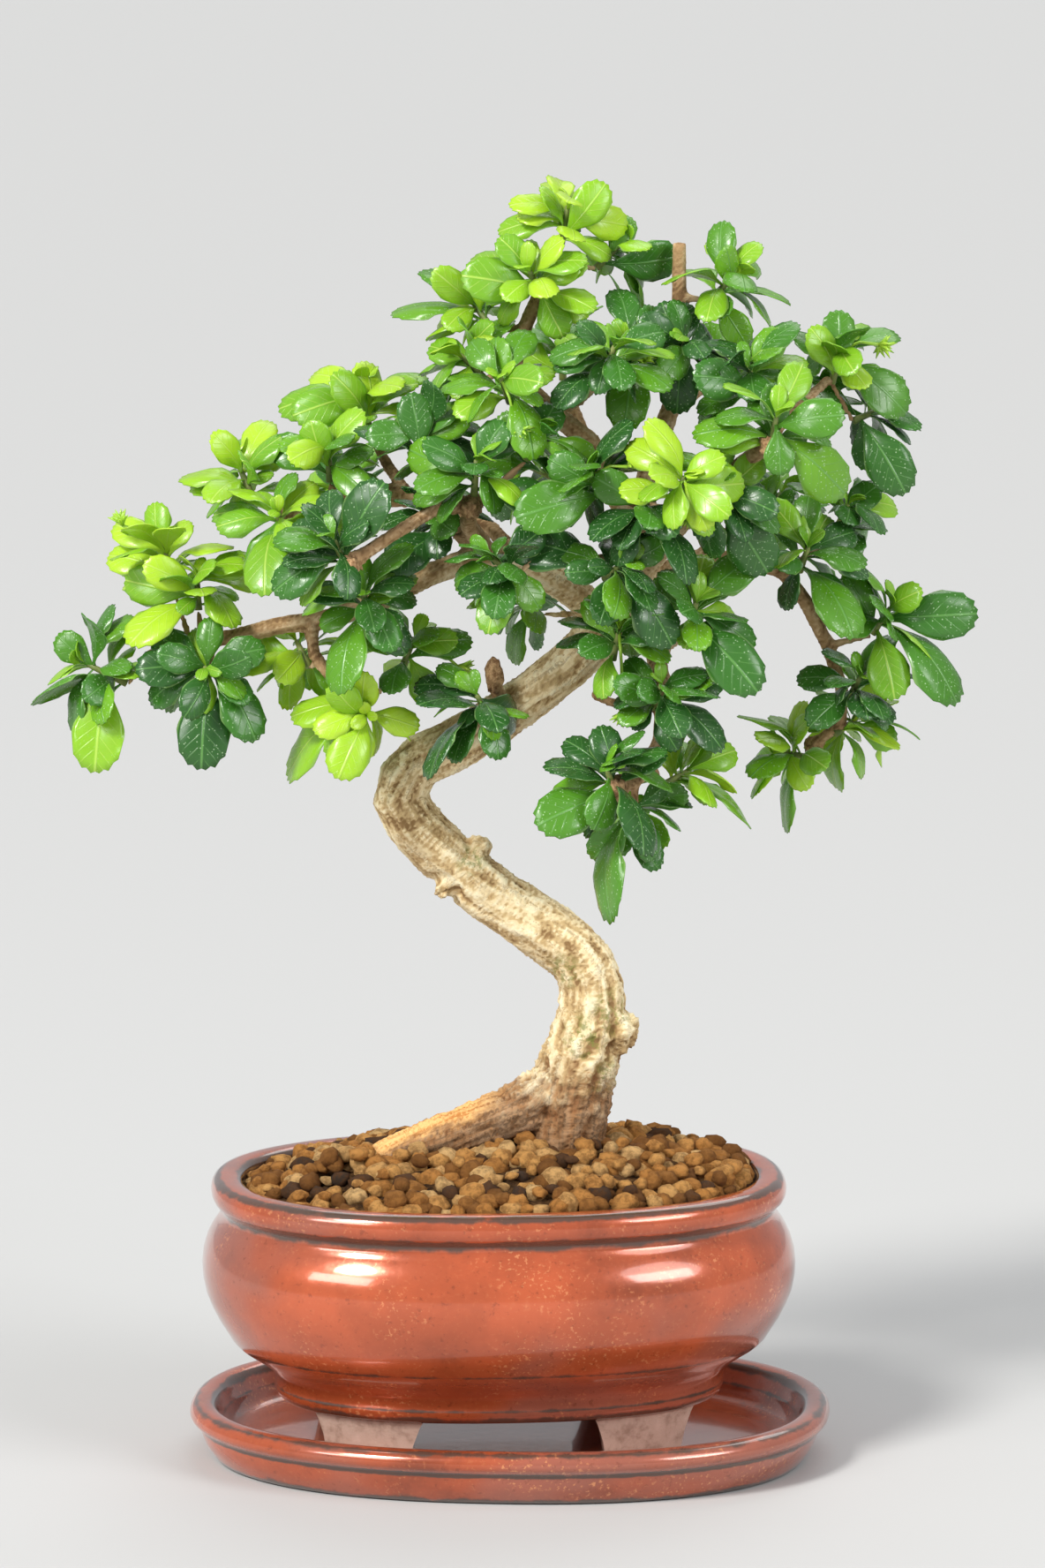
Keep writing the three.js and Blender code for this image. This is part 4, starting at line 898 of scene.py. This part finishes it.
class BONSAI_OT_pot(bpy.types.Operator):
    """Builds the glazed pot and its four unglazed feet"""
    bl_idname = "bonsai.pot"
    bl_label = "Pot"

    def execute(self, context):
        material = glaze_material("pot_glaze", context.scene.bonsai_pot, (0.78, 0.31, 0.13))
        body = turned_oval("pot_body", POT_PROFILE, POT_TURN, 0, material)
        place(body, "pot")
        feet = bmesh.new()
        feet.from_mesh(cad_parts["pot"].data)
        bmesh.ops.remove_doubles(feet, verts=feet.verts, dist=1e-6)
        top = (POT_FOOT_Z + 0.1) * MM
        away = []
        for f in feet.faces:
            heights = [v.co.z for v in f.verts]
            if max(heights) > top or min(heights) > top - 0.2 * MM:
                away.append(f)
        bmesh.ops.delete(feet, geom=away, context="FACES")
        if not feet.faces:
            raise RuntimeError("the packed pot has no feet")
        mesh = bpy.data.meshes.new("pot_feet")
        feet.to_mesh(mesh)
        feet.free()
        mesh.materials.append(clay_material())
        place(linked("pot_feet", mesh), "pot")
        return {"FINISHED"}


def mound_height(x, y):
    """Height of the heaped soil at a place in the pot's frame."""
    out = min(1, ((x - SOIL_MIDDLE_X) / SOIL_REACH[0]) ** 2 + (y / SOIL_REACH[1]) ** 2)
    return SOIL_EDGE_Z + SOIL_MOUND * (1 - out) ** 0.95 - SOIL_GRAIN * 0.5


def in_pot(x, y, margin):
    """Whether a place in the pot's frame is inside its rim by a margin."""
    half = POT_INNER - margin
    return (abs(x) / half) ** OVAL_POWER + (abs(y) / (half - OVAL_NARROWING)) ** OVAL_POWER < 1


class BONSAI_OT_soil(bpy.types.Operator):
    """Heaps the baked-clay granules round the trunk"""
    bl_idname = "bonsai.soil"
    bl_label = "Soil"

    @staticmethod
    def bed(spin):
        """The dark soil under the granules."""
        points, faces = [spin @ Vector((SOIL_MIDDLE_X, 0, mound_height(SOIL_MIDDLE_X, 0) + BED_RISE))], []
        for i in range(1, BED_RINGS + 1):
            for x, y, _ in oval_points(BED_HALF, 0, BED_SIDES):
                x, y = x * i / BED_RINGS, y * i / BED_RINGS
                lift = BED_RISE + 1.2 * noise.noise(Vector((x, y, 3)) * 0.4)
                points.append(spin @ Vector((x, y, mound_height(x, y) + lift)))
        for k in range(BED_SIDES):
            after = 1 + (k + 1) % BED_SIDES
            faces.append((0, 1 + k, after))
            for i in range(BED_RINGS - 1):
                a, b = i * BED_SIDES + 1 + k, i * BED_SIDES + after
                faces.append((a, a + BED_SIDES, b + BED_SIDES, b))
        under = len(points)
        last = under - BED_SIDES
        points += [Vector((p.x * 0.99, p.y * 0.99, BED_BOTTOM_Z)) for p in points[last:]]
        for k in range(BED_SIDES):
            b = (k + 1) % BED_SIDES
            faces.append((last + k, under + k, under + b, last + b))
        faces.append(tuple(reversed(range(under, under + BED_SIDES))))
        place(mesh_object("soil_bed", points, faces, dirt_material()), "soil")

    @staticmethod
    def grain_shape(draw, number):
        """A lumpy ball with a few flat chips."""
        chips = [Vector([draw.uniform(-1, 1) for _ in range(3)]).normalized() for _ in range(6)]
        ways, sides = ball(2)
        spots = []
        for way in ways:
            swell = 1.08 + 0.36 * noise.noise(way * 1.2 + Vector((number * 7, 0, 0)))
            swell += 0.3 * noise.noise(way * 3 + Vector((0, number * 5, 0)))
            for chip in chips:
                if way.dot(chip) * swell > CHIPPED_AT:
                    swell = CHIPPED_AT / way.dot(chip)
            spots.append(way * swell)
        return spots, sides

    def granule(self, draw, spot, radius):
        """Adds one granule at a spot, turned and squashed at random."""
        angle = draw.uniform(0, 6.28)
        turn = Matrix.Rotation(angle, 3, Vector([draw.uniform(-1, 1) for _ in range(3)]))
        squash = Matrix.Diagonal((draw.uniform(0.85, 1.2), draw.uniform(0.8, 1.05), draw.uniform(0.7, 0.95)))
        shape, sides = self.shapes[draw.randrange(len(self.shapes))]
        start = len(self.points)
        self.points += [spot + (squash @ (turn @ p)) * radius for p in shape]
        self.faces += [[start + c for c in f] for f in sides]
        self.tints += [draw.random()] * len(shape)

    def execute(self, context):
        size = context.scene.bonsai_tree.grain_size / MM
        spin = Matrix.Rotation(math.radians(POT_TURN), 3, "Z")
        draw = random.Random(7)
        self.bed(spin)
        wood = wood_surface()
        self.shapes = [self.grain_shape(draw, number) for number in range(GRAIN_SHAPES)]
        self.points, self.faces, self.tints = [], [], []
        step = SPACING * size
        columns, rows = int(150 / step), int(110 / (ROW_SPACING * step))
        for layer in range(2):
            for i in range(-columns // 2, columns // 2 + 1):
                for j in range(-rows // 2, rows // 2 + 1):
                    x = (i + 0.5 * (j & 1) + 0.35 * draw.uniform(-1, 1) + 0.5 * layer) * step
                    y = (j * ROW_SPACING + 0.35 * draw.uniform(-1, 1) + 0.4 * layer) * step
                    radius = 0.5 * size * draw.choice((0.66, 0.8, 0.9, 1, 1.08, 1.2)) * (0.8 if layer else 1)
                    if layer and draw.random() < UPPER_BARE:
                        continue
                    if not in_pot(x, y, radius * 0.95):
                        continue
                    aside, ahead = (x - ROOT_END[0]) / ROOT_HEAP_REACH, (y - ROOT_END[1]) / ROOT_HEAP_REACH
                    heap = ROOT_HEAP * math.exp(-aside ** 2 - ahead ** 2)
                    height = mound_height(x, y) + 2 + UPPER_RISE * layer + heap + draw.uniform(-0.9, 0.9)
                    spot = spin @ Vector((x, y, height))
                    if wood.find_nearest(spot * MM)[3] < radius * 0.72 * MM and heap < 1:
                        continue
                    self.granule(draw, spot, radius)
        for k in range(WALL_GRAINS):
            half = POT_INNER - 0.46 * size * draw.uniform(0.95, 1.25)
            x, y, _ = oval_points(half, 0, WALL_GRAINS * 4)[4 * k + draw.randrange(3)]
            spot = spin @ Vector((x, y, mound_height(x, y) + 1.6 + draw.uniform(-0.8, 0.8)))
            self.granule(draw, spot, 0.5 * size * draw.uniform(0.75, 1.05))
        if len(self.faces) > MOST_FACES:
            raise RuntimeError("too many granules")
        grains = mesh_object("soil_grains", self.points, self.faces, grain_material())
        add_values(grains.data, "tint", self.tints)
        place(grains, "soil")
        return {"FINISHED"}


class BONSAI_OT_wood(bpy.types.Operator):
    """Builds the trunk, roots, limbs and twigs with their bark"""
    bl_idname = "bonsai.wood"
    bl_label = "Trunk and Limbs"

    @staticmethod
    def fine_mesh(context):
        """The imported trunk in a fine, softened mesh."""
        source = linked("wood_source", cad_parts["trunk"].data.copy())
        remesh = source.modifiers.new("remesh", "REMESH")
        remesh.mode = "VOXEL"
        remesh.voxel_size = VOXEL * MM
        remesh.use_smooth_shade = True
        soften = source.modifiers.new("soften", "SMOOTH")
        soften.factor = 0.5
        soften.iterations = 5
        context.view_layer.update()
        mesh = bpy.data.meshes.new_from_object(source.evaluated_get(context.evaluated_depsgraph_get()))
        bpy.data.objects.remove(source)
        if not WOOD_POINTS[0] <= len(mesh.vertices) <= WOOD_POINTS[1]:
            raise RuntimeError("the remeshed wood has %d points" % len(mesh.vertices))
        mesh.name = "wood"
        mesh.materials.clear()
        return mesh

    @staticmethod
    def bark(p, out, radius, run, kind, relief):
        """How far the bark rises at a point, and the numbers that its material reads there."""
        scale = 0.9 * min(radius, 6) ** 0.8
        grain_place = Vector((out[0] * scale, out[1] * scale + kind * 9, out[2] * scale + run * 0.09))
        grain = noise.fractal(grain_place, 0.6, 2.1, 4)
        rough = noise.fractal(p * 0.28, 0.7, 2.0, 4)
        knob = smoothstep(*KNOBBLY_Z, p.z) * smoothstep(4, 8, radius)
        burr = max(smoothstep(reach + 3, reach, math.dist(p, spot)) for *spot, reach in BURRS)
        fine = noise.fractal(p * 0.9, 0.6, 2.0, 3) * max(knob, burr)
        coarse = (0.35 + 1.2 * knob + 1.2 * burr) * rough
        rise = relief * (min(radius, 9) / 7) * (0.8 * grain + coarse + 0.8 * fine) + 0.12
        if p.z > HIGH_BURRS_Z:
            rise -= (1.9 if p.x < -10 else 0.5) * burr
        cut = max(smoothstep(5, 2, math.dist(p, spot)) for spot in KNOBS) if p.z > KNOBS_Z else 0.0
        if cut:
            rise += cut * (0.8 + 1.2 * noise.fractal(p * 1.1, 0.6, 2.0, 3))
        moss = max(smoothstep(reach, reach * 0.3, math.dist(p, spot)) for *spot, reach in MOSS)
        on_root = kind == 2 and p.x < 6
        foot = smoothstep(-20, -7, p.x + 6 * rough) if on_root else 0.0
        peeled = smoothstep(0.3, 0.75, out[2] + 0.25 * rough) * smoothstep(4, -10, p.x) if on_root else 0.0
        return {
            "rise": rise, "fibre": 0.5 + 0.42 * grain + 0.22 * rough, "run": run + 40 * kind, "moss": moss,
            "base": max(smoothstep(*DARK_Z, p.z + 6 * rough), 0.85 * foot), "root": peeled, "cut": cut,
            "twig": smoothstep(4.6, 2.2, radius),
        }

    @staticmethod
    def knobs(bark):
        """Rough stumps of cut branches, each with its back end in a twig, and the low stub's frayed top."""
        points, faces = [], []
        stumps = [(x, y - 3.4, z - 0.3, 2.5, 3.8, 2.9) for x, y, z in KNOBS[:4]] + [CUT_STUB]
        for x, y, z, wide, deep, high in stumps:
            ways, sides = ball(3)
            start = len(points)
            for way in ways:
                lump = 1 + 0.45 * noise.fractal(way * 1.7 + Vector((x, y, z)), 0.7, 2.0, 4)
                points.append(Vector((x, y, z)) + Vector((wide * way.x, deep * way.y, high * way.z)) * lump)
            faces += [[start + c for c in f] for f in sides]
        made = mesh_object("cut_knobs", points, faces, bark)
        add_values(made.data, "cut", [1.0] * len(points))
        place(made, "trunk")

    def execute(self, context):
        relief = context.scene.bonsai_tree.bark_relief / MM
        mesh = self.fine_mesh(context)
        mesh.materials.append(bark_material())
        count = len(mesh.vertices)
        spots, normals = np.zeros(count * 3), np.zeros(count * 3)
        mesh.vertices.foreach_get("co", spots)
        mesh.vertices.foreach_get("normal", normals)
        spots, normals = spots.reshape(-1, 3) / MM, normals.reshape(-1, 3)
        lines = lines_samples()
        line = lines[nearest_on(lines, spots)]
        out = spots - line[:, :3]
        out /= np.linalg.norm(out, axis=1)[:, None] + 1e-9
        made = [self.bark(Vector(p), o, *row, relief) for p, o, row in zip(spots, out, line[:, 3:])]
        spots += normals * np.array([values.pop("rise") for values in made])[:, None]
        mesh.vertices.foreach_set("co", (spots * MM).ravel())
        mesh.update()
        mesh.polygons.foreach_set("use_smooth", [True] * len(mesh.polygons))
        for name in made[0]:
            add_values(mesh, name, [values[name] for values in made])
        layer = mesh.attributes.new("round", "FLOAT_VECTOR", "POINT")
        layer.data.foreach_set("vector", (out * line[:, 3:4]).astype(np.float32).ravel())
        place(linked("wood", mesh), "trunk")
        self.knobs(mesh.materials[0])
        return {"FINISHED"}


class BONSAI_OT_leaves(bpy.types.Operator):
    """Builds every shoot's stem and leaves"""
    bl_idname = "bonsai.leaves"
    bl_label = "Leafy Shoots"

    def keep_clear(self, number, leaf):
        """Notes the places of a leaf and the shoot it belongs to."""
        self.marks += leaf_marks(*leaf)
        self.owners += [number] * len(LEAF_MARKS)

    def packed_shoot(self, number, name):
        """A shoot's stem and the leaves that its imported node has."""
        node = "shoot_" + name
        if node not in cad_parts:
            raise RuntimeError("the packed part has no node " + node)
        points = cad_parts[node].data.vertices
        corners = KDTree(len(points))
        for i, v in enumerate(points):
            corners.insert(v.co / MM, i)
        corners.balance()
        x, y, z, _, leaves = SHOOTS[name]
        middle = Vector((x, y, z))
        aim = shoot_aim(middle, limb_spot(middle))
        length = 3 + 1.5 * len(leaves)
        tip = middle - aim * (0.5 * length)
        placed = []
        for i, (angle, long, lean, *roll) in enumerate(leaves):
            joint = tip + aim * (1.4 + (length - 2) * (i + 0.5) / len(leaves))
            roll = roll[0] if roll else LEAF_ROLL * math.sin(7 * angle + 3 * long)
            found = placed_leaf(joint, angle, long, lean, roll, corners)
            if found is None:
                self.lost += 1
                continue
            if (name, angle) != HIDING_LEAF:
                placed.append(found)
            self.keep_clear(number, found)
        return tip, aim, length, placed

    def execute(self, context):
        materials = leaf_material("grown_leaf", False), stem_material(), leaf_material("young_leaf", True)
        settings = context.scene.bonsai_tree
        wood = wood_surface()
        self.lost, self.marks, self.owners = 0, [], []
        shoots = [self.packed_shoot(number, name) for number, name in enumerate(SHOOTS)]
        print("leaves not found in the packed nodes:", self.lost)
        if self.lost > MOST_LOST:
            raise RuntimeError("%d leaves are not where the part has them" % self.lost)
        for number, (name, (tip, aim, length, placed)) in enumerate(zip(SHOOTS, shoots)):
            node, tone = "shoot_" + name, SHOOTS[name][3]
            builder = LeafBuilder(number + 11)
            draw = random.Random(number + 101)
            stem_path = [tip + aim * (GAP + (length - GAP) * t) for t in (0, 0.35, 0.7, 1)]
            builder.tube(stem_path, [0.98 * STEM_RADIUS, 0.92, 0.82, 0.66], 0.5, STEM_SLOT)
            for i, leaf in enumerate(placed):
                age = 0.85 * tone + 0.5 * draw.random() ** 2 - (0.18 if i < 2 else 0.12)
                builder.aged(leaf, age, GROWN_THICK)
            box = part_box(node)
            for _ in range(settings.small_leaves):
                own = np.array(self.owners) == number
                leaf = gap_leaf(draw, (tip, aim, length), np.array(self.marks), own, wood, box)
                if leaf:
                    builder.aged(leaf, 0.8 * tone + 0.65 * draw.random() ** 2 - 0.1, SMALL_THICK)
                    self.keep_clear(number, leaf)
            for k in range(settings.tip_leaves):
                out = Matrix.Rotation(draw.uniform(0, 6.28) + 2.4 * k, 3, aim) @ aim.orthogonal()
                along = (aim * 1.1 + out * draw.uniform(0.4, 0.9)).normalized()
                face = (aim - along * aim.dot(along)).normalized()
                size = draw.uniform(5.5, 9.5)
                leaf = (tip + aim * (length - 0.6), (along, face.cross(along), face), size, 0.3 * size)
                builder.aged(leaf, 0.7 * tone + draw.uniform(0.3, 0.5), YOUNG_THICK)
            if name in FLOWERS:
                builder.calyces(tip + aim * (length - 0.4), Vector(FLOWERS[name]), draw)
            place(builder.made(name + "_leaves", materials), node)
        return {"FINISHED"}


class BONSAI_OT_stage(bpy.types.Operator):
    """Sets the pale floor, the soft lights and the camera"""
    bl_idname = "bonsai.stage"
    bl_label = "Stage"

    def execute(self, context):
        settings = context.scene.bonsai_stage
        n = Nodes("pale_floor")
        n.set(Base_Color=(0.52, 0.52, 0.515, 1), Roughness=0.9)
        corners = [(-9000, -9000, 0), (9000, -9000, 0), (9000, 12000, 0), (-9000, 12000, 0)]
        mesh_object("floor", corners, [(0, 1, 2, 3)], n.material)
        world = bpy.data.worlds.new("studio")
        context.scene.world = world
        world.use_nodes = True
        background = world.node_tree.nodes["Background"]
        background.inputs["Color"].default_value = (0.9, 0.92, 0.95, 1)
        background.inputs["Strength"].default_value = 0.5
        for name, (kind, spot, power, others) in LIGHTS.items():
            data = bpy.data.lights.new(name, kind)
            data.energy = power
            for key, value in others.items():
                setattr(data, key, value)
            lamp = linked(name, data)
            lamp.location = MIDDLE + Vector(spot)
            lamp.rotation_euler = (-Vector(spot)).to_track_quat("-Z", "Y").to_euler()
        data = bpy.data.cameras.new("camera")
        data.sensor_fit = "VERTICAL"
        data.sensor_height = 36
        data.lens = settings.lens
        data.clip_end = 50
        camera = linked("camera", data)
        back = Vector((0, -math.cos(settings.pitch), math.sin(settings.pitch)))
        camera.location = MIDDLE + back * settings.distance
        camera.rotation_euler = (-back).to_track_quat("-Z", "Y").to_euler()
        context.scene.camera = camera
        context.scene.view_settings.view_transform = "Standard"
        return {"FINISHED"}


OPERATORS = (BONSAI_OT_tray, BONSAI_OT_pot, BONSAI_OT_soil, BONSAI_OT_wood, BONSAI_OT_leaves, BONSAI_OT_stage)


class BONSAI_PT_panel(bpy.types.Panel):
    """Lists the bonsai's sizes, colours and pieces"""
    bl_idname = "BONSAI_PT_panel"
    bl_label = "Bonsai"
    bl_space_type = "VIEW_3D"
    bl_region_type = "UI"
    bl_category = "Bonsai"

    def draw(self, context):
        for group in (context.scene.bonsai_pot, context.scene.bonsai_tree, context.scene.bonsai_stage):
            for key in group.__annotations__:
                self.layout.prop(group, key)
        for operator in OPERATORS:
            self.layout.operator(operator.bl_idname)


CLASSES = (BonsaiPotSettings, BonsaiTreeSettings, BonsaiStageSettings, *OPERATORS, BONSAI_PT_panel)


def register():
    for cls in CLASSES:
        bpy.utils.register_class(cls)
    bpy.types.Scene.bonsai_pot = bpy.props.PointerProperty(type=BonsaiPotSettings)
    bpy.types.Scene.bonsai_tree = bpy.props.PointerProperty(type=BonsaiTreeSettings)
    bpy.types.Scene.bonsai_stage = bpy.props.PointerProperty(type=BonsaiStageSettings)


def unregister():
    del bpy.types.Scene.bonsai_pot, bpy.types.Scene.bonsai_tree, bpy.types.Scene.bonsai_stage
    for cls in reversed(CLASSES):
        bpy.utils.unregister_class(cls)


def main():
    register()
    bpy.ops.bonsai.tray()
    bpy.ops.bonsai.pot()
    bpy.ops.bonsai.soil()
    bpy.ops.bonsai.wood()
    bpy.ops.bonsai.leaves()
    bpy.ops.bonsai.stage()


if __name__ == "__main__":
    main()
